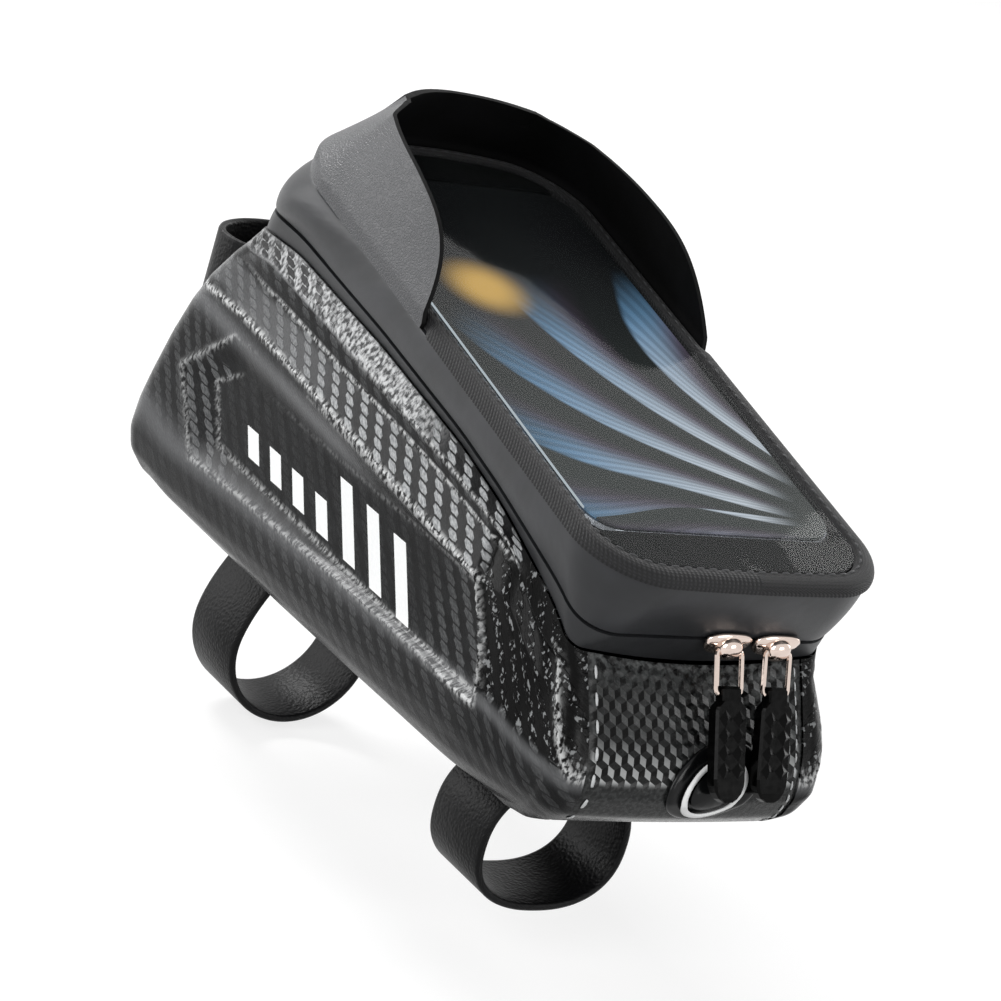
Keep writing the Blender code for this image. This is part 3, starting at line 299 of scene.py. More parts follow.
def rim_half(rise=0.0, inset=0.0, share=1.0):
    """The shell's top edge in the lid's frame, or with share below 1 a line between it and the lid."""
    up = 1.0 - share
    halves = [(v + w * up) * MM - inset for v, w in ((40.5, 4.0), (42.0, 6.0), (42.0, 6.0))]
    ends = ((8.4 - 11.0 * up) * MM + inset, (201.5 - 12.0 * up) * MM - inset)
    radii = (max((5.0 + 26.0 * up) * MM - inset, 2.5 * MM), 12.5 * MM - inset)
    plan = half_outline(halves, ends, radii, (0.0, 3.5 * MM))
    depth = eased(plan[:, 1] / MM, RIM_STATIONS, RIM_DEPTHS, 5.0) * MM
    across = np.clip(np.abs(plan[:, 0]) / halves[0], 0, 1)
    dip = RIM_DIP * (1 - across ** 2) * smooth((22 - plan[:, 1] / MM) / 6)
    return np.c_[plan, rise - (depth + dip * max(0.0, 1 - up * 3.7)) * share]


# Lines of the side moulding as (Y, Z), half widths at the rider's corner, the side and the far corner,
# and where the line meets the rider's end and the far end
SHELL_LINES = (
    (((-74, 64), (-63, 67), (-41, 71), (-19, 74.5), (3, 77.5), (27, 80.5), (51, 83), (74, 85.5)),
     (41.0, 45.0, 43.5), (-99.6, 47.4), (95.0, 83.2)),
    (((-74, 61.5), (-55, 65), (-33, 68.4), (-11, 70.8), (24, 73.6), (60, 77.5), (88, 79.5)),
     (41.3, 44.4, 44.5), (-101.8, 43.8), (98.0, 79.5)),
    (((-64, 54), (-44, 56), (-10, 60), (25, 63.8), (49, 66), (74, 68), (96, 69)),
     (41.8, 48.0, 46.0), (-105.2, 38.0), (105.0, 69.5)),
    (((-66, 46), (-40, 48), (0, 51), (40, 53), (67, 54), (90, 55)),
     (42.2, 47.7, 46.8), (-108.0, 33.2), (110.0, 60.0)),
    (((-69, 38), (-30, 38.5), (0, 39.5), (40, 41), (80, 44), (97, 44)),
     (42.5, 47.9, 47.2), (-110.2, 28.6), (115.0, 48.0)),
    (((-73, 31), (-40, 29.5), (0, 29.5), (44, 30.5), (70, 31.5), (90, 32)),
     (42.7, 48.1, 47.6), (-111.6, 24.2), (119.5, 34.0)),
    (((-75, 27.5), (-42, 26.3), (-9, 26.2), (15, 25.6), (50, 24.6), (79, 23), (110, 24)),
     (42.8, 48.5, 47.9), (-112.2, 20.6), (121.8, 25.0)),
    (((-104, 25), (-68, 24.2), (-43, 22.8), (-17, 21), (10, 20), (39, 18.8), (68, 17.2), (111, 15.6)),
     (42.8, 49.0, 48.0), (-112.3, 17.0), (122.6, 16.0)),
)
LOW_LINES = ((0.64, (41.6, 47.9, 47.0), -109.6, 121.4), (0.36, (39.4, 45.4, 44.2), -103.4, 118.2),
             (0.14, (36.8, 41.0, 38.8), -95.0, 113.5))
BOTTOM_ENDS = (-85.0 * MM, 105.0 * MM)
NEAR_RISE, FAR_RISE = 2.2 * MM, 1.0 * MM


def shell_line(line, halves, near, far, scale=1.0):
    """One line of the left shell from the near seam round to the far seam, in metres."""
    halves = np.array(halves) * MM
    ends = (near[0] * MM, far[0] * MM)
    radii = (min(6.5 * MM, halves[0] - SEAM_NEAR - 0.5 * MM),
             min(12.5 * MM, halves[2] - SEAM_FAR - 0.5 * MM))
    low, high = ends[0] + radii[0], ends[1] - radii[1]
    plan = half_outline(halves, ends, radii, (0.0, 3.0 * MM))[SHELL_FIRST:SHELL_FIRST + SHELL_COUNT]
    start, stop = near[1] * MM, far[1] * MM
    y = plan[:, 1]
    spots = np.array(line, float)
    z = eased(y / MM, spots[:, 0], spots[:, 1] * scale, 4.0) * MM
    share = smooth((y - low) / (26.0 * MM))
    z = z * share + (start + NEAR_RISE) * (1 - share)
    share = smooth((high - y) / (16.0 * MM))
    z = z * share + (stop + FAR_RISE) * (1 - share)
    ramp = np.linspace(0, 1, CORNER_COLUMNS + 1)
    z[:CORNER_COLUMNS + 1] = start + NEAR_RISE * ramp
    z[-CORNER_COLUMNS - 1:] = stop + FAR_RISE * ramp[::-1]
    return np.c_[plan, z]


def shell_frame():
    """Coarse rows of the left shell, columns by rows, from the top edge down to the bottom seam."""
    rows = [to_bag(rim_half())[SHELL_FIRST:SHELL_FIRST + SHELL_COUNT]]
    for line, halves, near, far in SHELL_LINES:
        rows.append(shell_line(line, halves, near, far))
    ridge = SHELL_LINES[-1]
    for share, halves, near, far in LOW_LINES:
        rows.append(shell_line(ridge[0], halves, (near, ridge[2][1] * share), (far, ridge[3][1] * share),
                               share))
    share = np.linspace(0.0, 1.0, SHELL_COUNT)
    start, stop = BOTTOM_ENDS
    ys = np.interp(share, (0.0, 0.12, 0.88, 1.0), (start, start + 9 * MM, stop - 9 * MM, stop))
    xs = np.interp(ys, (80.0 * MM, BOTTOM_ENDS[1]), (SEAM_NEAR, SEAM_FAR))
    on_pad = smooth((10 - np.maximum(-21 - ys / MM, ys / MM - 43)) / 10)
    rows.append(np.stack([-xs, ys, PAD_RISE * (1 - on_pad)], -1))
    grid = np.stack(rows, 1)
    grid[0, :, 0], grid[-1, :, 0] = -SEAM_NEAR, -SEAM_FAR
    return grid


# Points added between neighbouring rows of the shell, top to bottom
SHELL_STEPS = (10, 6, 14, 15, 15, 11, 8, 9, 7, 7, 6, 7)


def refine(grid, steps, ease=2):
    """More rows between the given ones, with the ridges eased a little."""
    rows, level = [], []
    for j, count in enumerate(steps):
        for k in range(count):
            t = k / count
            rows.append(grid[:, j] * (1 - t) + grid[:, j + 1] * t)
            level.append(j + t)
    rows.append(grid[:, -1])
    level.append(float(len(steps)))
    fine = np.stack(rows, 1)
    for _ in range(ease):
        fine[:, 1:-1] = (fine[:, :-2] + 2 * fine[:, 1:-1] + fine[:, 2:]) / 4
    return fine, np.array(level)


# The shield pressed into each side, as (Y, Z): its outer lip and the plate sunk inside it
BEAM = ((-64, 54), (-44, 56), (-10, 60), (25, 63.8), (49, 66), (74, 68))
SHIELD_OUTER = ((74, 62), (97, 44), (79, 23), (50, 24.6), (15, 25.6), (-9, 26.2), (-42, 26.2),
                (-78.5, 25.5), (-74, 37), (-63.5, 53.5), (-44, 55), (-10, 58.6), (25, 62.2), (49, 64))
SHIELD_INNER = ((67, 54), (80, 46), (70, 31), (44, 30), (20, 29.6), (-3, 28.6), (-40, 27.6), (-75, 27.4),
                (-71.5, 38), (-62, 51.5), (-44, 52.5), (-10, 52.5), (30, 53))
SINK = 2.3 * MM
# How far the film's columns lean as they go down the side, as a twill's do
TWILL = 0.95


def inside_depth(y, z, shape):
    """Distance in millimetres from the border of a shape, positive inside."""
    shape = np.array(shape, float)
    best = np.full(y.shape, 1e9)
    inside = np.zeros(y.shape, bool)
    for (ay, az), (by, bz) in zip(shape, np.roll(shape, -1, 0)):
        ey, ez = by - ay, bz - az
        t = np.clip(((y - ay) * ey + (z - az) * ez) / (ey * ey + ez * ez), 0, 1)
        best = np.minimum(best, np.hypot(y - ay - t * ey, z - az - t * ez))
        if az != bz:
            crosses = ((az > z) != (bz > z)) & (y < (z - az) / (bz - az) * ey + ay)
            inside ^= crosses
    return np.where(inside, best, -best)


def shell_skin():
    """The left shell's outer grid, its normals, the values at its points and its texture marks.

    The skin sinks along its normal by a share that rises in a line from the shield's outer border to its
    inner one, and stands out by bell curves exp(-(d / w)^2) along the lips, the beam and the corner.
    """
    coarse = shell_frame()
    fine, level = refine(coarse, SHELL_STEPS)
    y, z = fine[..., 1] / MM, fine[..., 2] / MM
    outer, inner = inside_depth(y, z, SHIELD_OUTER), inside_depth(y, z, SHIELD_INNER)
    share = np.where(inner >= 0, 1.0, np.where(outer <= 0, 0.0, outer / np.maximum(outer - inner, 1e-6)))
    high = smooth((z - 47) / 5) * smooth((y + 50) / 20)
    share = share * (1 - high) + smooth(share) * high
    step = np.interp(z, (20, 25.5, 37, 53.5, 66), (-80, -78.5, -74, -63.5, -60)) - y
    rows = np.broadcast_to(level, y.shape)
    near = smooth(step / 2.2) * smooth((6.7 - rows) / 0.5) * smooth((rows - 1.2) / 0.6)
    # dim: the rider's end of the side, coloured as a painted shade with painted glints on its cells
    dim = np.maximum(near, smooth((-72 - y) / 4) * smooth((6.7 - rows) / 0.5))
    fade = smooth((y + 106) / 14)
    lip = bell(outer, 0.9) * (z < 62) * (y > -82)
    rim = bell(inner, 0.6) * smooth((54 - z) / 4) * (y > -82)
    spots = np.array(BEAM, float)
    beam = bell(z - np.interp(y, spots[:, 0], spots[:, 1]), 0.9) * (y > -66) * (y < 100)
    chamfer = bell(rows - 1.05, 0.12) * smooth((y + 76) / 4) * smooth((50 - y) / 60)
    groove = bell(rows - 2.0, 0.05) * smooth((y + 72) / 4) * smooth((90 - y) / 40)
    streak = y + 98.8 - 0.652 * (z - 42.5)
    corner = bell(streak, 0.9) * smooth((rows - 0.6) / 1.0) * smooth((7.6 - rows) / 0.8)
    depth = SINK * share + 1.4 * MM * near * fade - 0.35 * MM * np.maximum(lip, beam) - 0.5 * MM * corner
    # edge: how strongly a painted highlight lies along the shield's lips, the plate's rim, the beam, the top
    # chamfer, the groove and the near corner
    edge = np.maximum.reduce([lip * (0.45 + 0.4 * smooth((-55 - y) / 10)) * smooth((y + 84) / 8), 0.5 * rim,
                              beam, 0.95 * chamfer, 0.75 * groove, 0.9 * corner])
    normal = unit(np.cross(np.gradient(fine, axis=0), np.gradient(fine, axis=1)))
    if normal[..., 0].mean() > 0:
        normal = -normal
    soft = fine.copy()
    ends = smooth((SHELL_COUNT / 2 - abs(np.arange(SHELL_COUNT) - SHELL_COUNT / 2)) / 12)[:, None]
    soft -= normal * (depth * ends)[..., None]
    # emboss: how much the pressed cells stand out, in their relief and in their painted highlights
    band = np.interp(rows, (0, 0.2, 0.85, 1.0, 1.9, 2.1, 2.9, 3.05, 3.4, 6.0, 6.5, 8, 9, 12),
                     (0.3, 1.0, 1.0, 0.2, 0.03, 0.9, 1.0, 0.06, 0.03, 0.05, 0.10, 0.10, 0.06, 0.02))
    faded = 1 - 0.75 * smooth((y - 10) / 60) * smooth((rows - 1.5) / 0.3)
    far = smooth((y - 78) / 14) * smooth((7.2 - rows) / 0.5)
    emboss = np.maximum(band * faded, 0.10 * far * (rows > 2.2))
    emboss = np.where(share >= 1, 0.03 + 0.14 * smooth((-38 - y) / 20), emboss)
    bevel = (share > 0) & (share < 1) & (z < 52)
    emboss = np.where(bevel, 0.25 * smooth((y - 50) / 20) + 0.03, emboss)
    emboss = emboss * (1 - dim) + 0.9 * dim
    # pale: a painted sheen on the top chamfer, weaker towards the far end
    pale = smooth((rows + 0.1) / 0.2) * smooth((1.15 - rows) / 0.2) * smooth((y + 32) / 22)
    pale = pale * (1 - 0.45 * smooth((y - 55) / 30))
    # sheen: painted sheens along the beam, the lower ridge and the band below the beam
    sheen = 0.20 * smooth((rows - 2.05) / 0.2) * smooth((3.1 - rows) / 0.3) * smooth((y - 5) / 50)
    sheen = np.maximum(sheen, 0.30 * bell(rows - 7.1, 0.55))
    sheen = np.maximum(sheen, 0.35 * bell(z - 57 - (y - 20) * 0.09,
                                          3.0) * smooth((y + 15) / 30) * (rows > 3.1))
    middle = int(np.argmin(abs(level - 3)))
    u = runs(fine)
    u = u - np.array([np.interp(0.0, y[:, j], u[:, j]) for j in range(u.shape[1])])
    v = runs(fine, 1)
    v = v - v[:, middle:middle + 1]
    u = u + TWILL * v
    # Stored values: emboss sets the cells' relief and their painted highlights, edge the painted highlights
    # along the ridges, shade the painted shade at the rider's end, pale the painted sheens, ragged where the
    # painted sheen is broken up
    values = {"emboss": emboss, "edge": edge, "shade": dim, "pale": np.maximum(pale, sheen * (1 - near)),
              "ragged": (pale > 0.02) * 1.0}
    return soft, normal, values, (u, v)


def add(tree, kind, *values, out=0, **settings):
    """Adds one shader node and returns an output. Values fill sockets in order; settings name them."""
    node = tree.nodes.new("ShaderNode" + kind)
    pairs = list(enumerate(values))
    for key, value in settings.items():
        if key.replace("_", " ") in node.inputs:
            pairs.append((key.replace("_", " "), value))
        else:
            setattr(node, key, value)
    for key, value in pairs:
        if isinstance(value, bpy.types.NodeSocket):
            tree.links.new(value, node.inputs[key])
        elif value is not None:
            node.inputs[key].default_value = value
    return node.outputs[out]


def calc(tree, operation, *values):
    """A Math node's result."""
    return add(tree, "Math", *values, operation=operation)


def mix(tree, share, first, second):
    """A blend of two colours by a share: each is a socket or a '#rrggbb' code."""
    ends = [linear(c) if isinstance(c, str) else c for c in (first, second)]
    return add(tree, "MixRGB", share, *ends)


def stored(tree, key):
    """A value kept at the mesh's points."""
    return add(tree, "Attribute", attribute_name=key, out=2)


def finish(name, code, roughness, **sockets):
    """A new material with its plain values set; returns it with its tree and shader."""
    mat = bpy.data.materials.new(name)
    mat.use_nodes = True
    shader = mat.node_tree.nodes["Principled BSDF"]
    shader.inputs["Base Color"].default_value = linear(code)
    shader.inputs["Roughness"].default_value = roughness
    for key, value in sockets.items():
        shader.inputs[key.replace("_", " ")].default_value = value
    return mat, mat.node_tree, shader


def relief(tree, shader, height, scale=1.0):
    """Bumps the shader by a height in millimetres."""
    bump = add(tree, "Bump", Height=height, Distance=MM * scale, Strength=1.0)
    tree.links.new(bump, shader.inputs["Normal"])


def cell(tree, place, width, height):
    """The nearest centre of a lattice of staggered cells: the place measured from it."""
    half = (width / 2, height / 2, 0.5)
    minus = tuple(-h for h in half)
    first = add(tree, "VectorMath", place, half, minus, operation="WRAP")
    moved = add(tree, "VectorMath", place, half, operation="ADD")
    second = add(tree, "VectorMath", moved, half, minus, operation="WRAP")
    near = calc(tree, "GREATER_THAN", add(tree, "VectorMath", first, operation="LENGTH", out=1),
                add(tree, "VectorMath", second, operation="LENGTH", out=1))
    return mix(tree, near, first, second)


def ramp(tree, value, low, high, to_low=0.0, to_high=1.0):
    """A smooth step of a value between two limits."""
    return add(tree, "MapRange", value, low, high, to_low, to_high, interpolation_type="SMOOTHSTEP")


# Printed bars on each side: place along it at Z = 35, lowest and highest Z, in millimetres
BARS = ((51.2, 34.3, 41.8), (38.0, 33.4, 41.4), (24.9, 32.4, 40.9), (11.5, 31.2, 40.2), (-3.4, 30.2, 48.8),
        (-17.7, 29.1, 47.6), (-32.1, 27.9, 46.4))


def skin_material():
    """Glossy film over moulded foam: columns of pressed cells with painted highlights, painted highlights
    along the ridges, painted sheens on the top chamfer and the beam, painted shade with painted glints at the
    rider's end, printed white bars.
    """
    mat, t, shader = finish("embossed_film_over_foam", "#17181a", 0.3, IOR=1.5, Specular_IOR_Level=0.1)
    place = add(t, "UVMap", uv_map="surface_mm")
    warp = add(t, "TexNoise", place, Scale=0.6, Detail=2.0, out=1)
    moved = add(t, "VectorMath", warp, (0.7, 0.5, 0.0), place, operation="MULTIPLY_ADD")
    local = cell(t, moved, 17.0, 2.45)
    x, y = (calc(t, "ABSOLUTE", add(t, "SeparateXYZ", local, out=k)) for k in (0, 1))
    slant = calc(t, "MULTIPLY_ADD", y, 0.9, x)
    flat = calc(t, "MULTIPLY", y, 2.0)
    reach = calc(t, "MAXIMUM", calc(t, "SUBTRACT", slant, 0.45), flat)
    dots = ramp(t, reach, 2.2, 1.8)
    keys = ("emboss", "edge", "shade", "pale", "ragged")
    emboss, edge, shade, pale, ragged = (stored(t, key) for key in keys)
    bulk = add(t, "TexNoise", place, Scale=0.25, Detail=3.0)
    fine = add(t, "TexNoise", place, Scale=1.1, Detail=3.0)
    upright = add(t, "VectorMath", place, (1.0, -TWILL, 0.0), operation="DOT_PRODUCT", out=1)
    strands = add(t, "CombineXYZ", upright, calc(t, "MULTIPLY", add(t, "SeparateXYZ", place, out=1), 0.55))
    crumbs = add(t, "TexNoise", strands, Scale=0.85, Detail=3.0)
    seen = calc(t, "MULTIPLY", dots, emboss)
    rough = calc(t, "MULTIPLY", calc(t, "MULTIPLY_ADD", edge, 0.4, 0.03), fine)
    height = calc(t, "MULTIPLY_ADD", seen, 0.30, calc(t, "MULTIPLY_ADD", bulk, 0.10, rough))
    relief(t, shader, height)
    body = add(t, "TexCoord", out=3)
    y, z = add(t, "SeparateXYZ", body, out=1), add(t, "SeparateXYZ", body, out=2)
    lean = calc(t, "MULTIPLY_ADD", calc(t, "SUBTRACT", z, 0.035), -0.66, y)
    painted = None
    for middle, low, high in BARS:
        across = calc(t, "COMPARE", lean, middle * MM, 3.25 * MM)
        along = calc(t, "COMPARE", z, (low + high) / 2 * MM, (high - low) / 2 * MM)
        bar = calc(t, "MULTIPLY", across, along)
        painted = bar if painted is None else calc(t, "MAXIMUM", painted, bar)
    tone = mix(t, ramp(t, bulk, 0.35, 0.7), "#070708", "#161718")
    # Painted sheen on the top chamfer and the beam: a pale, broken-up colour
    painted_sheen = mix(t, ragged, "#9a9b9d", mix(t, ramp(t, crumbs, 0.36, 0.64), "#3a3b3c", "#c6c7c8"))
    tone = mix(t, pale, tone, painted_sheen)
    # Painted highlights on the pressed cells
    cells = mix(t, ramp(t, fine, 0.3, 0.7), "#77797b", "#b3b5b6")
    tone = mix(t, calc(t, "MULTIPLY", seen, calc(t, "SUBTRACT", 1.0, pale)), tone, cells)
    # Painted shade in the pressed cells inside the painted sheen, towards the far end
    sunk = calc(t, "MULTIPLY", seen, calc(t, "MULTIPLY", ragged, ramp(t, y, 0.02, 0.06)))
    tone = mix(t, sunk, tone, "#101011")
    # Painted highlights along the ridges, broken up by noise
    ridge_highlight = calc(t, "MULTIPLY", edge, ramp(t, crumbs, 0.42, 0.58))
    # Painted shade at the rider's end of the side, with painted glints on its cells
    cell_glints = calc(t, "MULTIPLY", seen, ramp(t, crumbs, 0.54, 0.60))
    tone = mix(t, shade, tone, mix(t, cell_glints, "#030303", "#8d8f90"))
    tone = mix(t, ridge_highlight, tone, "#dcdddd")
    t.links.new(mix(t, painted, tone, "#f7f8f8"), shader.inputs["Base Color"])
    t.links.new(ramp(t, fine, 0.3, 0.75, 0.22, 0.34), shader.inputs["Roughness"])
    return mat


def cube_material():
    """Coated cloth pressed as rows of small cubes, with painted light and shade: three tones by the way a
    facet faces.
    """
    mat, t, shader = finish("cube_embossed_cloth", "#18191a", 0.3, IOR=1.5, Specular_IOR_Level=0.14)
    place = add(t, "UVMap", uv_map="surface_mm")
    local = cell(t, place, 3.7, 6.41)
    facets = [add(t, "VectorMath", local, d, operation="DOT_PRODUCT", out=1)
              for d in ((0.0, 1.0, 0.0), (-0.866, -0.5, 0.0), (0.866, -0.5, 0.0))]
    peak = calc(t, "MAXIMUM", calc(t, "MAXIMUM", facets[0], facets[1]), facets[2])
    fade = stored(t, "emboss")
    height = calc(t, "MULTIPLY", calc(t, "MULTIPLY", peak, fade), -1.0)
    rough = add(t, "TexNoise", place, Scale=0.9, Detail=4.0)
    relief(t, shader, calc(t, "MULTIPLY_ADD", rough, 0.06, height))
    across, rise = add(t, "SeparateXYZ", place), add(t, "SeparateXYZ", add(t, "TexCoord", out=3), out=2)
    plain = mix(t, ramp(t, rough, 0.35, 0.65), "#1f2020", "#3a3b3b")
    # Painted light and shade on the cubes: one facet lit and lighter low down, one near black, the third dark
    # grey
    pale = calc(t, "GREATER_THAN", facets[2], calc(t, "MAXIMUM", facets[0], facets[1]))
    dark = calc(t, "GREATER_THAN", facets[1], calc(t, "MAXIMUM", facets[0], facets[2]))
    patchy = add(t, "TexNoise", place, Scale=0.45, Detail=3.0)
    top = mix(t, ramp(t, patchy, 0.40, 0.62), "#0b0b0b", "#505252")
    tone = mix(t, ramp(t, rise, 0.034, 0.024), "#4a4c4c", "#b4b6b6")
    tone = mix(t, pale, "#1a1b1b", tone)
    tone = mix(t, dark, tone, "#020202")
    # The painted lit facets show on the left part and at the right edge, low on the panel; elsewhere a patchy
    # dark and grey tone
    glow = ramp(t, calc(t, "ADD", across, 7.0), 18.0, -6.0)
    side = ramp(t, across, 18.0, 28.0)
    glow = calc(t, "MULTIPLY", calc(t, "MAXIMUM", glow, side), ramp(t, rise, 0.050, 0.040))
    tone = mix(t, glow, top, tone)
    shown = ramp(t, fade, 0.05, 0.20)
    t.links.new(mix(t, shown, plain, tone), shader.inputs["Base Color"])
    t.links.new(ramp(t, rough, 0.3, 0.7, 0.18, 0.32), shader.inputs["Roughness"])
    return mat


def satin_material(name, low, high, roughness, weave=0.0, level=0.35):
    """Smooth coated cloth: broad soft highlights, a trace of weave and slow changes of tone."""
    mat, t, shader = finish(name, low, roughness, IOR=1.47, Specular_IOR_Level=level)
    place = add(t, "UVMap", uv_map="surface_mm")
    slow = add(t, "TexNoise", place, Scale=0.05, Detail=3.0)
    fine = add(t, "TexNoise", place, Scale=3.2, Detail=3.0)
    height = calc(t, "MULTIPLY_ADD", slow, 0.5, calc(t, "MULTIPLY", fine, 0.008))
    if weave:
        height = calc(t, "MULTIPLY_ADD", add(t, "TexWave", place, Scale=weave, out=1), 0.02, height)
    relief(t, shader, height)
    t.links.new(mix(t, ramp(t, slow, 0.35, 0.65), low, high), shader.inputs["Base Color"])
    t.links.new(ramp(t, fine, 0.3, 0.7, roughness - 0.06, roughness + 0.06), shader.inputs["Roughness"])
    return mat


def woven_material(name, code, light, rib=0.9, cross=1.3):
    """Woven nylon tape: crossing ribs, rough with a faint sheen along the threads, each rib's crest painted
    lighter as a painted highlight.
    """
    mat, t, shader = finish(name, code, 0.62, Sheen_Weight=0.08, Sheen_Roughness=0.4,
                            Specular_IOR_Level=0.25)
    place = add(t, "UVMap", uv_map="surface_mm")
    local = cell(t, place, cross, rib)
    bead = ramp(t, add(t, "VectorMath", local, operation="LENGTH", out=1), 0.62, 0.1)
    fibre = add(t, "TexNoise", place, Scale=5.0, Detail=3.0)
    relief(t, shader, calc(t, "MULTIPLY_ADD", bead, 0.16, calc(t, "MULTIPLY", fibre, 0.03)))
    # Painted highlight on the crest of each rib
    t.links.new(mix(t, bead, code, light), shader.inputs["Base Color"])
    return mat


def grain_material():
    """Grained coated cloth of the visor: a pale sheen broken up by fine leather-like pores."""
    mat, t, shader = finish("grained_visor_cloth", "#3b3c3f", 0.45, IOR=1.5)
    place = add(t, "UVMap", uv_map="surface_mm")
    pores = add(t, "TexVoronoi", place, Scale=1.05, feature="DISTANCE_TO_EDGE")
    fine = add(t, "TexNoise", place, Scale=2.2, Detail=5.0)
    height = calc(t, "MULTIPLY_ADD", ramp(t, pores, 0.0, 0.22), 0.06, calc(t, "MULTIPLY", fine, 0.05))
    relief(t, shader, height)
    t.links.new(mix(t, fine, "#292a2d", "#3b3c3f"), shader.inputs["Base Color"])
    t.links.new(ramp(t, fine, 0.3, 0.7, 0.36, 0.5), shader.inputs["Roughness"])
    return mat


def pebbled_material():
    """Pebbled strap coating: small rounded lumps, matte black with tiny glints."""
    mat, t, shader = finish("pebbled_strap_coating", "#0b0b0c", 0.4, IOR=1.48, Specular_IOR_Level=0.12)
    place = add(t, "UVMap", uv_map="surface_mm")
    lumps = add(t, "TexVoronoi", place, Scale=1.15, feature="SMOOTH_F1")
    fine = add(t, "TexNoise", place, Scale=3.0, Detail=3.0)
    height = calc(t, "MULTIPLY_ADD", ramp(t, lumps, 0.75, 0.1), 0.09, calc(t, "MULTIPLY", fine, 0.05))
    relief(t, shader, height)
    t.links.new(mix(t, fine, "#050506", "#0e0e0f"), shader.inputs["Base Color"])
    return mat


def film_material():
    """Clear soft film: almost invisible, a little hazy, with slow ripples that bend the reflections."""
    mat, t, shader = finish("clear_soft_film", "#3a3d3d", 0.05, IOR=1.45, Alpha=0.12)
    body = add(t, "TexCoord", out=3)
    ripples = add(t, "TexNoise", body, Scale=38.0, Detail=1.5, Roughness=0.4)
    relief(t, shader, ripples, 0.6)
    return mat


def screen_material():
    """Lit phone screen: soft blue ribbons over a dark grey-green ground and one warm glow, under glass. The
    ground darkens towards the visor as painted shade, and a thin painted highlight runs along the display's
    left edge.
    """
    mat, t, shader = finish("lit_phone_screen", "#0b0d0f", 0.08, IOR=1.5, Specular_IOR_Level=0.1)
    body = add(t, "TexCoord", out=3)
    c, s = math.cos(LID_TILT), math.sin(LID_TILT)
    along = add(t, "VectorMath", body, (0.0, c, s), operation="DOT_PRODUCT", out=1)
    across = add(t, "SeparateXYZ", body)
    start = LID_NEAR_Y * c + NEAR_HEIGHT * s + PHONE_NEAR
    v = add(t, "MapRange", along, start, start + PHONE_LENGTH, 0.0, 1.0)
    u = add(t, "MapRange", across, -PHONE_HALF, PHONE_HALF, 0.0, 1.0)
    flat = add(t, "CombineXYZ", u, calc(t, "MULTIPLY", v, 2.05))
    drift = add(t, "TexNoise", flat, Scale=0.9, Detail=1.0, Roughness=0.2, out=1)
    bent = add(t, "VectorMath", drift, (0.5, 0.5, 0.0), flat, operation="MULTIPLY_ADD")
    away = add(t, "VectorMath", bent, (1.45, 0.35, 0.0), operation="SUBTRACT")
    reach = add(t, "VectorMath", away, operation="LENGTH", out=1)
    turn = calc(t, "ARCTAN2", add(t, "SeparateXYZ", away, out=1), add(t, "SeparateXYZ", away))
    fan = calc(t, "MULTIPLY_ADD", turn, 3.1, calc(t, "MULTIPLY", reach, 0.9))
    saw = calc(t, "FRACT", fan)
    petal = calc(t, "MULTIPLY", ramp(t, saw, 0.25, 0.93), ramp(t, saw, 1.0, 0.94))
    streaks = add(t, "TexWave", add(t, "CombineXYZ", calc(t, "MULTIPLY", turn, 9.0), reach), Scale=1.0,
                  Distortion=2.5, Detail=2.0, out=1)
    ribbon = calc(t, "MULTIPLY", petal, ramp(t, streaks, 0.1, 0.9, 0.7, 1.0))
    gone = calc(t, "MULTIPLY", ramp(t, reach, 0.35, 0.6), ramp(t, reach, 1.55, 1.05))
    ribbon = calc(t, "MULTIPLY", ribbon, gone)
    # The ground darkens from the rider's end towards the visor: painted shade of the visor
    ground = mix(t, ramp(t, v, 0.0, 0.85), "#333937", "#08090a")
    colour = mix(t, ramp(t, reach, 0.5, 1.3), "#dfeaf5", "#6c9cc4")
    colour = mix(t, ramp(t, saw, 0.75, 0.35), colour, "#8d6f93")
    lit = mix(t, ribbon, ground, colour)
    spot = add(t, "VectorMath", flat, (0.30, 1.36, 0.0), operation="DISTANCE", out=1)
    lit = mix(t, ramp(t, spot, 0.20, 0.04), lit, "#e3b75c")
    # A thin painted highlight along the display's left edge
    rim = calc(t, "COMPARE", u, 0.014, 0.0035)
    lit = mix(t, rim, lit, "#c9d6dd")
    t.links.new(lit, shader.inputs["Emission Color"])
    shader.inputs["Emission Strength"].default_value = 0.85
    return mat


def plain_material(name, code, roughness, noise=0.02, scale=900.0, **sockets):
    """Moulded or plated surface with a trace of unevenness from the object's own coordinates."""
    mat, t, shader = finish(name, code, roughness, **sockets)
    body = add(t, "TexCoord", out=3)
    fine = add(t, "TexNoise", body, Scale=scale, Detail=3.0)
    relief(t, shader, calc(t, "MULTIPLY", fine, noise))
    t.links.new(ramp(t, fine, 0.3, 0.7, max(roughness - 0.05, 0.02), roughness + 0.05),
                shader.inputs["Roughness"])
    return mat


SKIN = skin_material()
CUBES = cube_material()
SATIN = satin_material("satin_coated_cloth", "#28292b", "#303134", 0.4)
SATIN_LOW = satin_material("satin_zip_flap", "#222325", "#2a2b2d", 0.42)
INNER = satin_material("black_lining_cloth", "#0f0f10", "#161617", 0.8, weave=1.6, level=0.2)
VISOR_INSIDE = satin_material("black_visor_lining", "#030303", "#070708", 0.7, level=0.12)
MARGIN = satin_material("smooth_margin_cloth", "#060707", "#0b0c0d", 0.35, level=0.04)
BRAID = woven_material("woven_binding_tape", "#0e0e0f", "#222224")
WEBBING = woven_material("woven_webbing", "#0d0d0e", "#1c1c1e", 1.1, 1.6)
THREAD = plain_material("waxed_thread", "#c9cbcc", 0.3, 0.03, 1500.0)
DARK_THREAD = plain_material("dark_thread", "#303133", 0.6, 0.03, 1500.0)
GRAIN = grain_material()
PEBBLE = pebbled_material()
FILM = film_material()
SCREEN = screen_material()
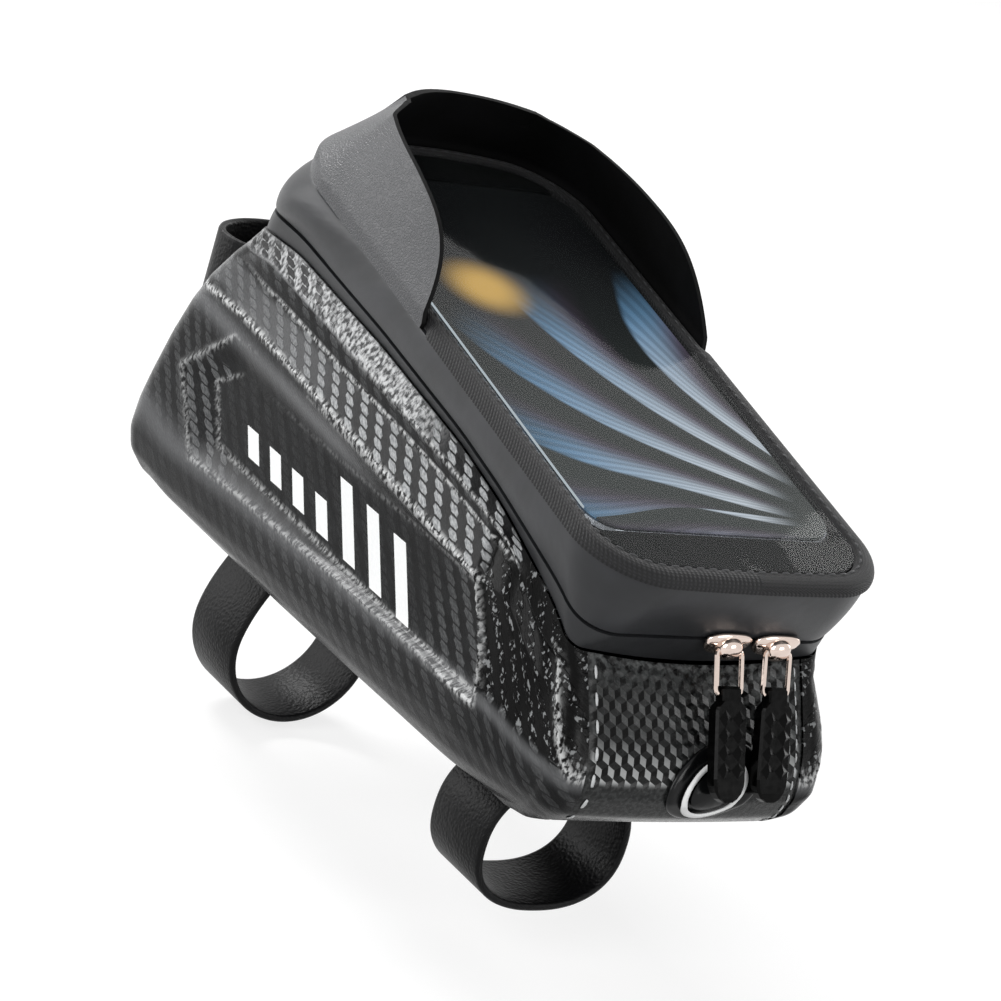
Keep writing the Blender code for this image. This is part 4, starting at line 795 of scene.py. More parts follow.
TRAY = plain_material("black_tray_lining", "#0f0f10", 0.75, 0.02, 900.0, Specular_IOR_Level=0.2)
NYLON = plain_material("nylon_coil", "#0e0e0f", 0.35, 0.01)
RUBBER = plain_material("moulded_rubber_tab", "#040404", 0.2, 0.01, 700.0, Specular_IOR_Level=0.07)
PORT = plain_material("moulded_port_rubber", "#0c0d0e", 0.22, 0.02, 500.0, Specular_IOR_Level=0.2)
WHITE = plain_material("white_rubber", "#f3f4f4", 0.4, 0.01)
PLATED = plain_material("plated_zinc", "#dccbc1", 0.09, 0.003, 1200.0, Metallic=1.0)
EDGE = plain_material("anodised_phone_edge", "#7f8388", 0.28, 0.003, 2000.0, Metallic=1.0)


def build_shells():
    """Both shells: the skin and the same grid moved inwards by the wall. Returns the left seam's points."""
    outer, normal, values, marks = shell_skin()
    inner = outer - normal * SHELL_WALL
    inner[0] = outer[0] - unit(normal[0] * np.array([0.0, 1.0, 1.0])) * SHELL_WALL
    inner[-1] = outer[-1] - unit(normal[-1] * np.array([0.0, 1.0, 1.0])) * SHELL_WALL
    inner[1:-1, -1] = outer[1:-1, -1] + np.array([0.0, 0.0, SHELL_WALL])
    inner[0, -1] = outer[0, -1] + np.array([0.0, 0.25, 0.95]) * SHELL_WALL
    inner[-1, -1] = outer[-1, -1] + np.array([0.0, -0.25, 0.95]) * SHELL_WALL
    path = np.concatenate([outer[0], outer[1:-1, -1], outer[-1, ::-1]])
    for side, mirror in SIDES:
        obj = thick("shell_%s_skin" % side, "bag", outer * mirror, inner * mirror, (SKIN, INNER),
                    marks=marks, values=values, stands_for=("shell_%s" % side,), sharp=60.0)
    return path


def panel_lift(t, seam_z, top):
    """How far the middle panel bulges out and dips at its top: both fall as 1 - t^2 from its middle."""
    lift = 1 - t * t
    low = np.clip(seam_z / (10.0 * MM), 0, 1)
    rise = np.clip((seam_z - 17.0 * MM) / (top - 17.0 * MM), 0, 1)
    return PANEL_BULGE * lift * low * (1 - rise ** 3), RIM_DIP * 0.74 * lift * rise


def build_panel(path):
    """The strip between the shells: the seam's path swept across, with a parabolic bulge and rolled edges."""
    ts = np.linspace(-1.0, 1.0, 61)
    count = sum(SHELL_STEPS) + 1
    keep = np.r_[0:count, count:len(path) - count:2, len(path) - count:len(path)]
    path, near, far = path[keep], slice(0, count), slice(-count, None)
    d = np.gradient(path[:, 1:], axis=0)
    normal = unit(np.stack([-d[:, 1], d[:, 0]], -1))
    if ((path[:, 1:] - path[:, 1:].mean(0)) * normal).sum() < 0:
        normal = -normal
    outer = np.zeros((len(path), len(ts), 3))
    for j, t in enumerate(ts):
        x = (np.abs(path[:, 0]) - GAP / 2) * t
        y, z = path[:, 1].copy(), path[:, 2].copy()
        bulge, dip = panel_lift(t, z[near], z[0])
        y[near] -= bulge
        z[near] -= dip
        y[far] += 1.2 * MM * (1 - t * t) * np.clip(path[far, 2] / (10.0 * MM), 0, 1)
        roll = smooth((abs(t) - 0.93) / 0.07) * 0.5 * MM
        outer[:, j] = np.stack([x, y - normal[:, 0] * roll, z - normal[:, 1] * roll], -1)
    inner = outer - np.concatenate([np.zeros((len(path), 1, 1)), normal[:, None, :]],
                                   -1) * (PANEL_WALL - 0.5 * MM)
    u = outer[..., 0] / MM
    v = np.repeat(runs(outer)[:, 30:31], len(ts), 1)
    z = outer[..., 2] / MM
    emboss = 0.36 * smooth((z - 19) / 6) * smooth((1 - abs(ts)) / 0.1) + 0.02
    obj = thick("panel_skin", "bag", outer, inner, (CUBES, INNER), marks=(u, v), values={"emboss": emboss},
                stands_for=("centre_panel",), sharp=50.0)
    return outer


def drawn_in(ring, distance):
    """A closed ring moved inwards in plan, square to its own line."""
    d = unit(np.roll(ring, -1, 0) - np.roll(ring, 1, 0))
    side = unit(np.stack([-d[:, 1], d[:, 0], np.zeros(len(ring))], -1))
    sign = np.sign(((ring.mean(0) - ring) * side).sum(-1).sum())
    return ring + side * sign * distance


def band(name, low, high, rows, mat, swell, node):
    """A soft band between two rings of the lid's frame, which swells between them as sin(pi t)^0.8."""
    ts = np.linspace(0.0, 1.0, rows)
    outer = np.stack([low * (1 - t) + high * t for t in ts], 1)
    share = (0.3 + 0.7 * smooth((low[:, 1] - 148 * MM) / (36 * MM)))[:, None]
    for j, t in enumerate(ts):
        pushed = drawn_in(outer[:, j], -swell * math.sin(math.pi * t) ** 0.8)
        outer[:, j] += (pushed - outer[:, j]) * share
    inner = np.stack([drawn_in(outer[:, j], BAND_WALL) for j in range(rows)], 1)
    obj = thick(name, "lid" if swell > 0.5 * MM else "bag", to_bag(outer), to_bag(inner), (mat, INNER),
                closed=True, stands_for=(node,), sharp=60.0)


COIL_PITCH, COIL_TURN, COIL_WIRE, COIL_HALF = 1.5 * MM, 0.42 * MM, 0.27 * MM, 0.75 * MM


def coil(name, ring, below, body, node):
    """One side of the zip: a helix with 8 points a turn wound along the tape, left open at the hinge."""
    hinge_part = FAR_COLUMNS + 6
    middle = drawn_in(ring, BAND_WALL + 0.4 * MM + COIL_HALF)
    half = len(ring) // 2
    order = np.r_[np.arange(half + hinge_part, len(ring)), np.arange(0, half - hinge_part + 1)]
    path = middle[order] + np.array([0.0, 0.0, (-1.0 if below else 1.0) * (ZIP_GAP / 2 + COIL_HALF)])
    run = runs(path) * MM
    turns = int(run[-1] / COIL_PITCH)
    s = np.linspace(0, run[-1], turns * 8)
    line = np.stack([np.interp(s, run, path[:, k]) for k in range(3)], -1)
    ahead = unit(np.gradient(line, axis=0))
    side = unit(np.cross(ahead, np.array([0.0, 0.0, 1.0])))
    up = np.cross(side, ahead)
    angle = (np.arange(len(s)) / 8.0 * 2 * math.pi)[:, None]
    line = line + (side * np.cos(angle) + up * np.sin(angle)) * COIL_TURN
    ahead = unit(np.gradient(line, axis=0))
    side = unit(np.cross(ahead, np.array([0.1, 0.0, 1.0])))
    up = np.cross(side, ahead)
    rings = np.stack([line + (side * math.cos(a) + up * math.sin(a)) * COIL_WIRE
                      for a in np.linspace(0, 2 * math.pi, 5, endpoint=False)], 1)
    obj = loft(name, body, to_bag(rings), (NYLON,), stands_for=(node,))


def build_hinge_tape():
    """A strip of cloth sewn inside both bands along the far end."""
    half = len(ZIP_LINE) // 2
    middle = drawn_in(ZIP_LINE, BAND_WALL + 0.5 * MM)[half - FAR_COLUMNS - 2:half + FAR_COLUMNS + 3]
    rises = np.linspace(-6.0, 6.0, 25) * MM
    outer = np.stack([middle + np.array([0.0, 0.0, z]) for z in rises], 1)
    inner = outer - np.array([0.0, 0.5 * MM, 0.0])
    obj = thick("hinge_tape", None, to_bag(outer), to_bag(inner), (SATIN_LOW,), sharp=60.0)
    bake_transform(obj)


def stitches(name, body, line, out, length, gap, width, mat):
    """Short rounded stitches laid along a line of points, standing a little proud of the cloth."""
    run = runs(line)
    count = int(run[-1] / (length + gap))
    pitch = run[-1] / count
    points, faces = [], []
    profile = ((0.0, 0.35), (0.12, 0.8), (0.5, 1.0), (0.88, 0.8), (1.0, 0.35))
    for k in range(count):
        s = (k + 0.5) * pitch + (np.array([p[0] for p in profile]) - 0.5) * length
        mid = np.stack([np.interp(s, run, line[:, c]) for c in range(3)], -1)
        up = unit(np.stack([np.interp(s, run, out[:, c]) for c in range(3)], -1))
        ahead = unit(np.gradient(mid, axis=0))
        side = np.cross(ahead, up)
        rise = np.array([0.02, 0.16, 0.24, 0.16, 0.02])[:, None] * MM
        first = len(points) * 6
        for i, (_, wide) in enumerate(profile):
            w = width / 2 * wide * MM
            ring = [mid[i] + up[i] * (rise[i] + math.sin(a) * w * 0.55) + side[i] * math.cos(a) * w
                    for a in np.linspace(0, 2 * math.pi, 6, endpoint=False)]
            points.append(np.array(ring))
        for i in range(4):
            for j in range(6):
                a, b = first + i * 6 + j, first + i * 6 + (j + 1) % 6
                faces.append([a, b, b + 6, a + 6])
        faces.append([first + j for j in range(6)])
        faces.append([first + 24 + j for j in range(6)])
    return piece(name, body, np.concatenate(points), faces, None, None, (mat,), sharp=80.0)


# Outline of the binding's section: share of its width inwards, share of its height
BINDING_SECTION = ((0.0, 0.0), (0.0, 0.28), (0.08, 0.58), (0.25, 0.86), (0.48, 1.0), (0.75, 0.98),
                   (0.94, 0.8), (1.0, 0.5), (1.0, 0.0))
VISOR_START = 106.5


def binding_room(ring):
    """Share of the binding's width that the visor's foot takes at each point of the lid's outline."""
    return 1.9 / 6.2 * np.clip((ring[:, 1] / MM - VISOR_START + 4) / 3, 0, 1)


def build_binding():
    """The edge tape: a rounded section swept round the lid's outline, and its stitches."""
    edge, rim = whole(lid_half(0.0)), whole(lid_half(BINDING_WIDTH))
    room = binding_room(edge)
    section = np.array(BINDING_SECTION)
    run = np.r_[0, np.cumsum(np.hypot(*np.diff(section, axis=0).T))]
    ts = np.linspace(0, run[-1], 25)
    rows = []
    for u, v in zip(np.interp(ts, run, section[:, 0]), np.interp(ts, run, section[:, 1])):
        share = (room + (1 - room) * u)[:, None]
        rows.append(edge * (1 - share) + rim * share + np.array([0.0, 0.0, BINDING_HEIGHT * v]))
    rings = np.stack(rows, 1)
    rings[:, 1:-1] = (rings[:, :-2] + 2 * rings[:, 1:-1] + rings[:, 2:]) / 4
    obj = loft("binding_roll", "lid", to_bag(rings), (BRAID,), closed=True, stands_for=("lid_binding",),
               sharp=70.0)
    share = 0.80
    line = edge * (1 - share) + rim * share + np.array([0.0, 0.0, BINDING_HEIGHT * 0.97])
    line = to_bag(np.concatenate([line, line[:1]]))
    out = np.broadcast_to(to_bag(np.array([[0.0, 0.0, 1.0]])) - to_bag(np.zeros((1, 3))), line.shape)
    stitches("binding_stitches", "lid", line, out, 2.3, 1.5, 0.6, DARK_THREAD)


def membrane(name, ring, low, high, wave, mat, node):
    """A sheet filling a ring of the lid's frame, with slow waves that die out at its edge."""
    centre = np.array([0.0, (ring[:, 1].min() + ring[:, 1].max()) / 2])
    shares = np.linspace(1.0, 0.0, 34)[:-1] ** 0.8
    rows = [centre + (ring[:, :2] - centre) * s for s in shares]
    grid = np.stack(rows, 1)
    x, y = grid[..., 0] / MM, grid[..., 1] / MM
    calm = np.minimum(1.0, (1 - np.broadcast_to(shares, x.shape)) * 5)
    bumps = np.sin(x * 0.11 + 0.6 * np.sin(y * 0.05)) * np.sin(y * 0.071 + 1.3)
    bumps = bumps + 0.5 * np.sin(x * 0.19 - y * 0.13)
    rise = wave * calm * bumps
    top, bottom = np.dstack([grid, high + rise]), np.dstack([grid, low + rise])
    n, m = x.shape
    points = np.concatenate([to_bag(top).reshape(-1, 3), to_bag(bottom).reshape(-1, 3)])
    i, j = np.meshgrid(np.arange(n), np.arange(m - 1), indexing="ij")
    k = (i + 1) % n
    front = np.stack([i * m + j, k * m + j, k * m + j + 1, i * m + j + 1], -1).reshape(-1, 4)
    flat = np.concatenate([grid.reshape(-1, 2), grid.reshape(-1, 2)]) / MM
    faces = front.tolist() + (front[:, ::-1] + n * m).tolist()
    idx = np.arange(n)
    rim = np.stack([idx * m, ((idx + 1) % n) * m, ((idx + 1) % n) * m + n * m, idx * m + n * m], -1)
    faces += rim.tolist()
    faces.append((idx * m + m - 1).tolist())
    faces.append((idx * m + m - 1 + n * m).tolist())
    marks = np.concatenate([flat[f] for f in faces])
    obj = piece(name, "lid", points, faces, marks, None, (mat,), stands_for=(node,), sharp=50.0)


def margin_ring(near):
    """Outline of the cloth between the binding and one end of the phone."""
    ring = whole(lid_half(BINDING_WIDTH + GAP))[:, :2]
    edge = PHONE_NEAR - GAP if near else PHONE_NEAR + PHONE_LENGTH + GAP
    kept = ring[ring[:, 1] < edge - 0.6 * MM] if near else ring[ring[:, 1] > edge + 0.6 * MM]
    kept = kept[np.argsort(np.arctan2(kept[:, 1] - edge, kept[:, 0]))]
    reach = abs(kept[:, 0]).max()
    xs = np.linspace(reach, -reach, 30) if near else np.linspace(-reach, reach, 30)
    return np.concatenate([kept, np.c_[xs, np.full(30, edge)]])


def dress(obj, mat):
    """Gives a model part its finish."""
    obj.data.materials.clear()
    obj.data.materials.append(mat)


def build_lid():
    """The film, the cloth margins beside the phone, and the finish of the phone and its tray."""
    window = whole(lid_half(BINDING_WIDTH + GAP))
    membrane("window_film", window, WINDOW_BASE, WINDOW_BASE + 0.35 * MM, 0.12 * MM, FILM, "lid_window")
    for near, node in ((True, "margin_near"), (False, "margin_far")):
        top = WINDOW_BASE - GAP
        membrane(node + "_cloth", margin_ring(near), top - 1.0 * MM, top - 0.25 * MM, 0.03 * MM, MARGIN,
                 node)
    for node, mat in (("phone", EDGE), ("phone_display", SCREEN), ("phone_tray", TRAY)):
        dress(NODES[node], mat)


# The visor by the run from its tip in millimetres: height, lean in degrees, and sag of the right half
VISOR_STATIONS = (0.0, 25.0, 50.0, 69.5, 83.5, 97.5, 109.5, 127.8)
VISOR_HEIGHTS = (26.2, 26.6, 27.0, 26.3, 26.2, 25.9, 24.5, 22.0)
VISOR_LEANS = (19.7, 15.6, 21.0, 34.8, 39.1, 38.8, 26.3, 11.5)
VISOR_SAGS = (0.6, 1.6, 2.2, 1.4, 0.4, 0.0, 0.0, 0.0)
VISOR_SWAY = 1.0
VISOR_RISE = 9.9
VISOR_WALL = 1.3 * MM
VISOR_ROWS = 26


def visor_face(inset):
    """One face of the visor: rows rising from the lid's outline, drawn inwards above the binding by the
    tangent of the lean. The height starts as 1 - exp(-run / rise) at each tip."""
    half = LID_HALF - inset
    tips = VISOR_START + 60.0 * np.linspace(0, 1, 60) ** 1.5
    high = (LID_LENGTH - FAR_RADIUS) / MM
    tips = tips[tips < high - 1.0]
    flank = np.array([(-half, y * MM) for y in tips])
    tail = lid_half(inset)[NEAR_COLUMNS + 1 + CORNER_COLUMNS + SIDE_COLUMNS:, :2]
    left = np.concatenate([flank, tail])
    path = np.concatenate([left, (left * np.array([-1.0, 1.0]))[-2::-1]])
    side = unit(np.gradient(path, axis=0))
    side = np.stack([side[:, 1], -side[:, 0]], -1)
    run = np.r_[0.0, np.cumsum(np.linalg.norm(np.diff(left, axis=0), axis=1))] / MM
    run = np.r_[run, run[-2::-1]]
    height = eased(run, VISOR_STATIONS, VISOR_HEIGHTS, 8.0) * MM
    height -= smooth(path[:, 0] / (12 * MM) + 0.5) * eased(run, VISOR_STATIONS, VISOR_SAGS, 8.0) * MM
    height *= 1 - np.exp(-(path[:, 1] / MM - VISOR_START + 0.6) / VISOR_RISE)
    lean = np.tan(np.radians(eased(run, VISOR_STATIONS, VISOR_LEANS, 8.0)))
    rows = []
    for t in np.linspace(0, 1, VISOR_ROWS):
        z = 0.2 * MM + (height - 0.2 * MM) * t
        drawn = np.minimum(np.maximum(z - BINDING_HEIGHT - 1.1 * MM, 0.0) * lean, FAR_RADIUS - 4.9 * MM)
        sway = np.c_[-VISOR_SWAY * MM * np.maximum(z / (26.2 * MM), 0.0) ** 2, np.zeros(len(z))]
        rows.append(np.c_[path + side * drawn[:, None] + sway, z])
    return np.stack(rows, 1)


def build_visor():
    """The visor as one thick sheet between two faces, grained outside and black inside."""
    outer, inner = visor_face(0.0), visor_face(VISOR_WALL)
    obj = thick("visor_sheet", "lid", to_bag(outer), to_bag(inner), (GRAIN, VISOR_INSIDE),
                stands_for=("visor",), kinds=(0, 1, 1), sharp=60.0)


def loop_path(top, widest, bottom, half, square, upper, flat=9.7 * MM, count=40):
    """A hanging loop in the XZ plane: a flat top, sides that widen downwards and a rounded lower half."""
    share = np.linspace(0.0, 1.0, count)
    upper_x = half - (half - flat) * share ** upper
    upper_z = widest + (top - widest) * share
    turn = np.linspace(0.0, math.pi / 2, count)[1:]
    lower_x = half * np.maximum(np.cos(turn), 0.0) ** square
    lower_z = widest - np.sin(turn) ** square * (widest - bottom)
    side = np.c_[np.r_[np.linspace(0, flat, 8)[:-1], upper_x[::-1], lower_x],
                 np.r_[np.full(7, top), upper_z[::-1], lower_z]]
    pts = np.concatenate([side, (side * np.array([-1.0, 1.0]))[-2:0:-1]])
    return relaxed(evenly(pts, 140), 5)


def evenly(path, count, closed=True):
    """A plan path with its points at even distances."""
    if closed:
        path = np.concatenate([path, path[:1]])
    run = np.r_[0, np.cumsum(np.hypot(*np.diff(path, axis=0).T))]
    s = np.linspace(0, run[-1], count + closed)[:count]
    return np.stack([np.interp(s, run, path[:, k]) for k in range(2)], -1)


def relaxed(path, times):
    """A closed path with its corners eased: each point moves to (before + 2 itself + after) / 4."""
    for _ in range(times):
        path = (np.roll(path, 1, 0) + 2 * path + np.roll(path, -1, 0)) / 4
    return path


STRAP_WALL, STRAP_WIDTH = 2.2 * MM, 25.0 * MM
KEEPER_ROOM, KEEPER_HALF, KEEPER_WALL = 1.2 * MM, 8.5 * MM, 1.2 * MM
# Outline of a strap's section: share of its width, share of its wall
STRAP_SECTION = ((0.0, 0.35), (0.012, 0.1), (0.04, 0.0), (0.5, 0.0), (0.96, 0.0), (0.988, 0.1), (1.0, 0.35),
                 (1.0, 0.65), (0.988, 0.9), (0.96, 1.0), (0.5, 1.0), (0.04, 1.0), (0.012, 0.9), (0.0, 0.65))


def strap(name, path, start, axis, node):
    """A strap bent round a path, with the rounded edges of its section."""
    d = unit(np.roll(path, -1, 0) - np.roll(path, 1, 0))
    out = np.stack([d[:, 1], -d[:, 0]], -1)
    if ((path - path.mean(0)) * out).sum() < 0:
        out = -out
    rings = []
    for across, deep in STRAP_SECTION:
        flat = path - out * STRAP_WALL * deep
        side = np.full(len(path), start + STRAP_WIDTH * across)
        columns = [flat[:, 0], flat[:, 1]]
        columns.insert(1 if axis == "y" else 2, side)
        rings.append(np.stack(columns, -1))
    obj = loft(name, "bag", np.stack(rings, 1), (PEBBLE,), closed=True, stands_for=(node,), sharp=50.0)


# Each hanging strap: where it starts, how deep its widest place and its bottom lie, its half width,
# how square its lower half is and how its sides open, in millimetres and powers
STRAPS = (("strap_near", "keeper_near", -68.0, 21.5, 40.2, 23.9, 0.85, 2.6),
          ("strap_far", "keeper_far", 68.0, 31.0, 54.0, 23.6, 1.0, 1.7))
HEAD_BASE, HEAD_BACK, HEAD_FRONT, HEAD_HALF = 46.8 * MM, 120.5 * MM, 150.5 * MM, 22.5 * MM


def far_surface(z):
    """Y of the bag's far end at a height."""
    zs, ys = np.array(sorted((line[3][1], line[3][0]) for line in SHELL_LINES)).T
    return np.interp(z / MM, zs, ys) * MM + 3.2 * MM


def keeper(name, line, node):
    """A strip of webbing laid through its points, 17 mm wide."""
    line = evenly(np.array(line), 60, closed=False)
    for _ in range(3):
        line[1:-1] = (line[:-2] + 2 * line[1:-1] + line[2:]) / 4
    d = unit(np.gradient(line, axis=0))
    out = np.stack([d[:, 1], -d[:, 0]], -1)
    xs = np.linspace(-KEEPER_HALF, KEEPER_HALF, 12)
    inner = np.stack([np.c_[np.full(len(line), x), line] for x in xs])
    outer = np.stack([np.c_[np.full(len(line), x), line + out * KEEPER_WALL] for x in xs])
    obj = thick(name, "bag", outer, inner, (WEBBING,), stands_for=(node,))


def build_straps():
    """The two hanging loops, the loop at the head tube and the tapes that hold them."""
    for name, node, start, widest, bottom, half, square, upper in STRAPS:
        foot = PAD_RISE - GAP
        path = loop_path(PAD_RISE - 0.5 * MM, -widest * MM, -bottom * MM, half * MM, square, upper)
        strap(name + "_band", path, start * MM, "y", name)
        a, b = start * MM - KEEPER_ROOM, start * MM + STRAP_WIDTH + KEEPER_ROOM
        deep = PAD_RISE - 3.0 * MM
        keeper(node + "_tape", [(a - 9 * MM, foot), (a - 2 * MM, foot), (a, deep), (b, deep),
                                (b + 2 * MM, foot), (b + 9 * MM, foot)], node)
    half, depth = HEAD_HALF, HEAD_FRONT - HEAD_BACK
    pts = [(half * k, HEAD_BACK) for k in np.linspace(0.62, -0.62, 18)]
    left = [(-half * 0.86, HEAD_BACK + depth * 0.08), (-half * 0.98, HEAD_BACK + depth * 0.26)]
    arc = [(-half * math.cos(t), HEAD_BACK + depth * (0.42 + 0.58 * math.sin(t)))
           for t in np.linspace(0, math.pi, 60)]
    path = np.array(pts + left + arc + [(-x, y) for x, y in left][::-1])
    path = relaxed(evenly(path, 120), 4)
    path[:, 1] = np.maximum(path[:, 1], HEAD_BACK)
    strap("strap_head_band", path, HEAD_BASE, "z", "strap_head")
    low, high = HEAD_BASE - KEEPER_ROOM, HEAD_BASE + STRAP_WIDTH + KEEPER_ROOM
    face = HEAD_BACK + 2.5 * MM
    foot, head = [low - 11 * MM, low - 3.5 * MM], [high + 2.5 * MM, high + 9.0 * MM]
    line = [(far_surface(z) + GAP, z) for z in foot] + [(face, low), (face, high)]
    line += [(far_surface(z) + GAP, z) for z in head]
    keeper("keeper_head_tape", line, "keeper_head")


def near_surface(x, z):
    """Y of the middle panel's face at the rider's end, at arrays of x and height."""
    ends = sorted([(row[2][1], row[2][0]) for row in SHELL_LINES] + [(0.0, BOTTOM_ENDS[0] / MM)]
                  + [(SHELL_LINES[-1][2][1] * low[0], low[2]) for low in LOW_LINES] + [(50.7, -97.6)])
    zs, ys = np.array(ends).T * MM
    out = []
    for a, b in zip(x, z):
        bulge, dip = panel_lift(a / SEAM_NEAR, zs, zs[-1])
        out.append(np.interp(b, zs - dip, ys - bulge))
    return np.array(out)


def egg(centre, radii, share, out, count=96, slant=0.35):
    """A ring on the rider's end: an egg leaning to the right, standing out by out."""
    a = np.linspace(0, 2 * math.pi, count, endpoint=False)
    dx, dz = radii[0] * np.cos(a) * share, radii[1] * np.sin(a) * share
    x, z = (centre[0] + dx + slant * dz) * MM, (centre[1] + dz) * MM
    return np.stack([x, near_surface(x, z) - out, z], -1)


def build_port():
    """The cable outlet: a rubber patch, a white ring and a domed plug, all lofted through egg rings."""
    centre, middle, radii, size = (5.5, 22.0), (4.6, 21.2), (14.0, 10.5), (9.4, 8.4)
    steps = ((0.02, 0.45), (0.5, 0.45), (0.97, 0.45), (1.0, 0.55), (1.0, 0.95), (0.98, 1.25), (0.94, 1.4),
             (0.88, 1.42), (0.8, 1.3), (0.72, 1.25), (0.6, 1.25), (0.3, 1.25), (0.02, 1.25))
    obj = loft("cable_patch_skin", "bag", np.stack([egg(centre, radii, s, o * MM) for s, o in steps]),
               (PORT,), stands_for=("cable_patch",), sharp=70.0)
    ts = np.linspace(0, 2 * math.pi, 14, endpoint=False)
    rings = np.stack([egg(middle, size, 0.91 + 0.085 * math.cos(t),
                          (2.3 + 0.5 * math.sin(t)) * MM) for t in ts], 1)
    obj = loft("cable_ring_bead", "bag", rings, (WHITE,), closed=True, stands_for=("cable_ring",))
    steps = ((0.02, 1.83), (0.5, 1.83), (0.68, 1.85), (0.7, 1.97), (0.66, 2.15), (0.52, 2.45), (0.34, 2.8),
             (0.16, 3.0), (0.02, 3.05))
    obj = loft("cable_plug_dome", "bag", np.stack([egg(middle, size, s, o * MM) for s, o in steps]),
               (PORT,), stands_for=("cable_plug",), sharp=70.0)


def soften(obj, width, mat, segments=3):
    """Rounds a model part's edges and gives it its finish."""
    dress(obj, mat)
    mod = obj.modifiers.new("rounded_edges", "BEVEL")
    mod.width, mod.segments, mod.limit_method = width, segments, "ANGLE"
    mod.angle_limit = math.radians(28)
    mod.harden_normals = False


SLIDER_UP, SLIDER_OUT = np.array([0.0, -0.479, 0.878]), np.array([0.0, -0.878, -0.479])
SLIDER_MIDDLES = (3.5, 19.0)
SLIDER_BACK = np.array([0.0, -103.0, 56.62]) * MM


def slider_dome(name, node, body, middle, rise, steps, power, drop=0.0):
    """A crowned casting: rings |x/a|^p + |z/b|^p = 1 that shrink as they stand further out of the zip."""
    a = np.linspace(0, 2 * math.pi, 56, endpoint=False)
    c, s = np.cos(a), np.sin(a)
    radius = (abs(c) ** power + abs(s) ** power) ** (-1 / power)
    rings = []
    for wide, high, out in steps:
        x, z = radius * c * wide * MM, radius * s * high * MM + drop * out * MM
        x = x * (1 + rise * radius * s)
        rings.append(SLIDER_BACK + np.array([middle * MM, 0, 0]) + x[:, None] * np.array([1.0, 0, 0])
                     + z[:, None] * SLIDER_UP + out * MM * SLIDER_OUT)
    obj = loft(name, body, np.stack(rings), (PLATED,), stands_for=(node,), sharp=50.0)


# Half width, half height and how far out each ring of the slider's base and crown lies, in millimetres
BASE_STEPS = ((0.05, 0.05, 0.0), (5.0, 2.6, 0.0), (6.7, 3.7, 0.0), (7.0, 3.95, 0.25), (7.0, 3.95, 0.7),
              (6.75, 3.75, 1.05), (6.0, 3.3, 1.35), (4.6, 2.6, 1.6), (2.4, 1.4, 1.75), (0.05, 0.05, 1.8))
CROWN_STEPS = ((0.05, 0.05, 1.2), (2.0, 2.0, 1.2), (3.5, 3.3, 1.2), (3.6, 3.4, 1.9), (3.55, 3.3, 2.6),
               (3.35, 3.0, 3.3), (2.9, 2.5, 3.85), (2.1, 1.8, 4.2), (1.1, 0.9, 4.35), (0.05, 0.05, 4.38))


def build_metal():
    """The sliders, and the finish of the bails and pull tabs."""
    for k in (1, 2):
        node, body, middle = "slider_%d" % k, "zip_slider_%d" % k, SLIDER_MIDDLES[k - 1]
        slider_dome(node + "_base", node, body, middle, 0.10, BASE_STEPS, 2.6)
        slider_dome(node + "_crown", node, body, middle, -0.06, CROWN_STEPS, 2.4)
        soften(NODES["bail_%d" % k], 0.1 * MM, PLATED, 2)
        soften(NODES["puller_%d" % k], 0.22 * MM, RUBBER)


def seam_stitches(panel):
    """White dashes down both edges of the rider's end, beside the seams."""
    count = sum(SHELL_STEPS) - 14
    for side, j in (("left", 2), ("right", 58)):
        line = panel[4:count, j]
        out = np.broadcast_to(np.array([0.0, -1.0, -0.25]), line.shape)
        size = (3.3, 3.4, 1.25) if side == "left" else (2.4, 1.2, 0.7)
        stitches("seam_stitches_" + side, "bag", line, out, *size, THREAD)


SEAM_PATH = build_shells()
PANEL = build_panel(SEAM_PATH)
ZIP_LINE = whole(rim_half(0.0, 0.0, ZIP_SHARE))
DOWN = np.array([0.0, 0.0, -ZIP_GAP / 2])
band("lower_band", whole(rim_half(GAP, 0.5 * MM)), ZIP_LINE + DOWN, 9, SATIN_LOW, 0.2 * MM, "gusset_lower")
band("upper_band", ZIP_LINE - DOWN, whole(lid_half(1.0 * MM, -GAP)), 30, SATIN, BAND_SWELL, "gusset_upper")
coil("lower_coil", ZIP_LINE, True, "bag", "zip_coil_lower")
coil("upper_coil", ZIP_LINE, False, "lid", "zip_coil_upper")
build_hinge_tape()
build_binding()
build_lid()
build_visor()
build_straps()
build_port()
build_metal()
seam_stitches(PANEL)


# Lamps: name, place, side of the square in metres, power in watts
LAMP_TARGET = (0.0, 0.0, 0.05)
LAMPS = (("key", (-1.53, -0.63, 0.77), 1.1, 18.0), ("left_back", (-1.13, 1.30, 0.41), 1.0, 12.5),
         ("top_back", (-0.25, 1.36, 1.20), 0.6, 21.0), ("front", (0.63, -1.62, 0.50), 0.8, 10.0),
         ("right", (1.55, 0.35, 0.65), 1.2, 10.0))


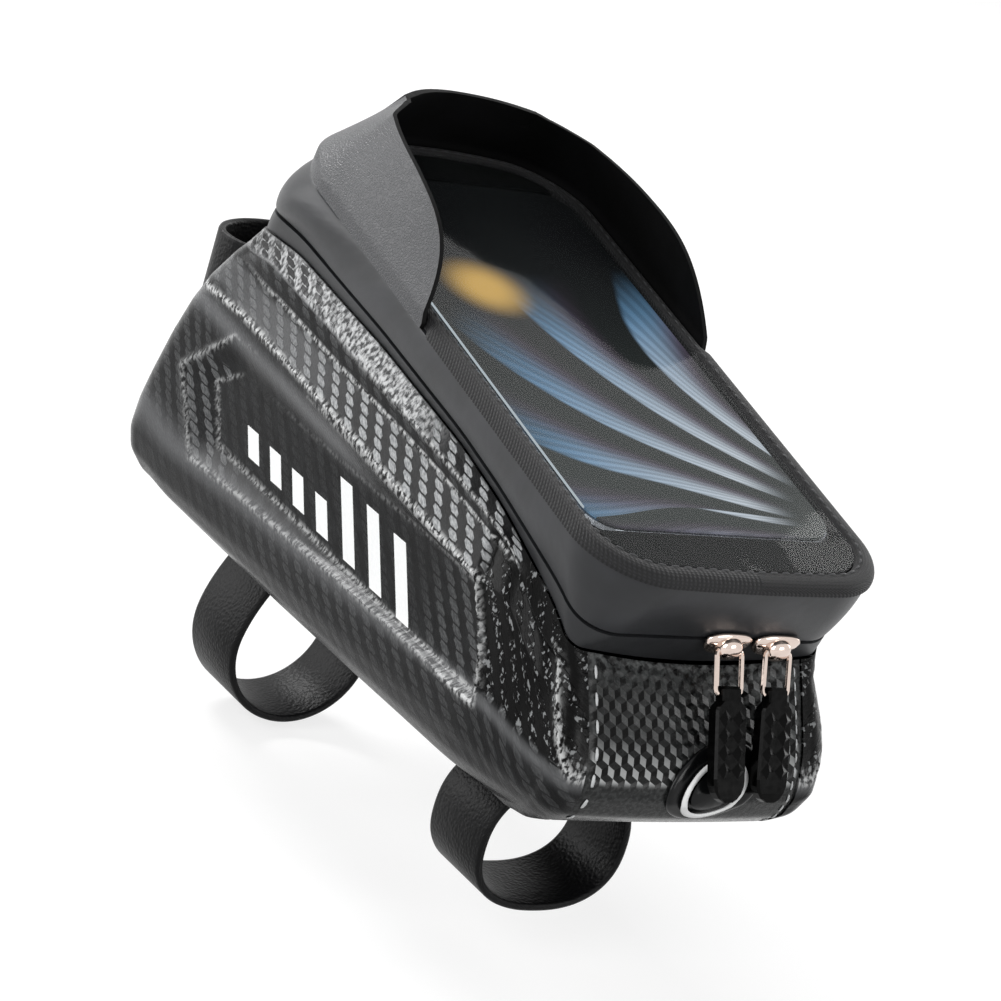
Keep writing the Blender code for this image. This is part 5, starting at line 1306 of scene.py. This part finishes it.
def seen_ray(tree):
    """1 for what the camera, a mirror or glass sees, 0 for light that falls on the object."""
    path = tree.nodes.new("ShaderNodeLightPath")
    seen = calc(tree, "MAXIMUM", path.outputs["Is Camera Ray"], path.outputs["Is Transmission Ray"])
    return calc(tree, "MAXIMUM", seen, path.outputs["Is Glossy Ray"])


def studio():
    """Pale floor, white surroundings and large soft lamps."""
    scene = bpy.context.scene
    scene.view_settings.view_transform = "Standard"
    world = bpy.data.worlds.new("studio")
    scene.world = world
    world.use_nodes = True
    t = world.node_tree
    back = t.nodes["Background"]
    back.inputs["Color"].default_value = (1.0, 1.0, 1.0, 1.0)
    t.links.new(calc(t, "MULTIPLY_ADD", seen_ray(t), 0.75, 0.25), back.inputs["Strength"])
    floor_mesh = bpy.data.meshes.new("floor")
    corners = [(x, y, FLOOR_Z) for x, y in ((-4, -4), (4, -4), (4, 4), (-4, 4))]
    floor_mesh.from_pydata(corners, [], [(0, 1, 2, 3)])
    floor = bpy.data.objects.new("floor", floor_mesh)
    scene.collection.objects.link(floor)
    mat = bpy.data.materials.new("pale_floor")
    mat.use_nodes = True
    t = mat.node_tree
    shader = t.nodes["Principled BSDF"]
    shader.inputs["Base Color"].default_value = (0.34, 0.34, 0.34, 1.0)
    shader.inputs["Roughness"].default_value = 0.9
    shader.inputs["Specular IOR Level"].default_value = 0.0
    glow = add(t, "Emission", (1.0, 1.0, 1.0, 1.0), calc(t, "MULTIPLY", seen_ray(t), 0.72))
    both = add(t, "AddShader", shader.outputs[0], glow)
    t.links.new(both, t.nodes["Material Output"].inputs["Surface"])
    floor_mesh.materials.append(mat)
    for name, place, size, power in LAMPS:
        data = bpy.data.lights.new(name, "AREA")
        data.shape, data.size, data.energy = "SQUARE", size, power
        lamp = bpy.data.objects.new(name, data)
        scene.collection.objects.link(lamp)
        ahead = unit(np.array(LAMP_TARGET) - np.array(place))
        right = unit(np.cross(ahead, (0.0, 0.0, 1.0)))
        up = np.cross(right, ahead)
        rows = [(r, u, -a, p) for r, u, a, p in zip(right, up, ahead, place)]
        lamp.matrix_world = Matrix(rows + [(0, 0, 0, 1)])


studio()
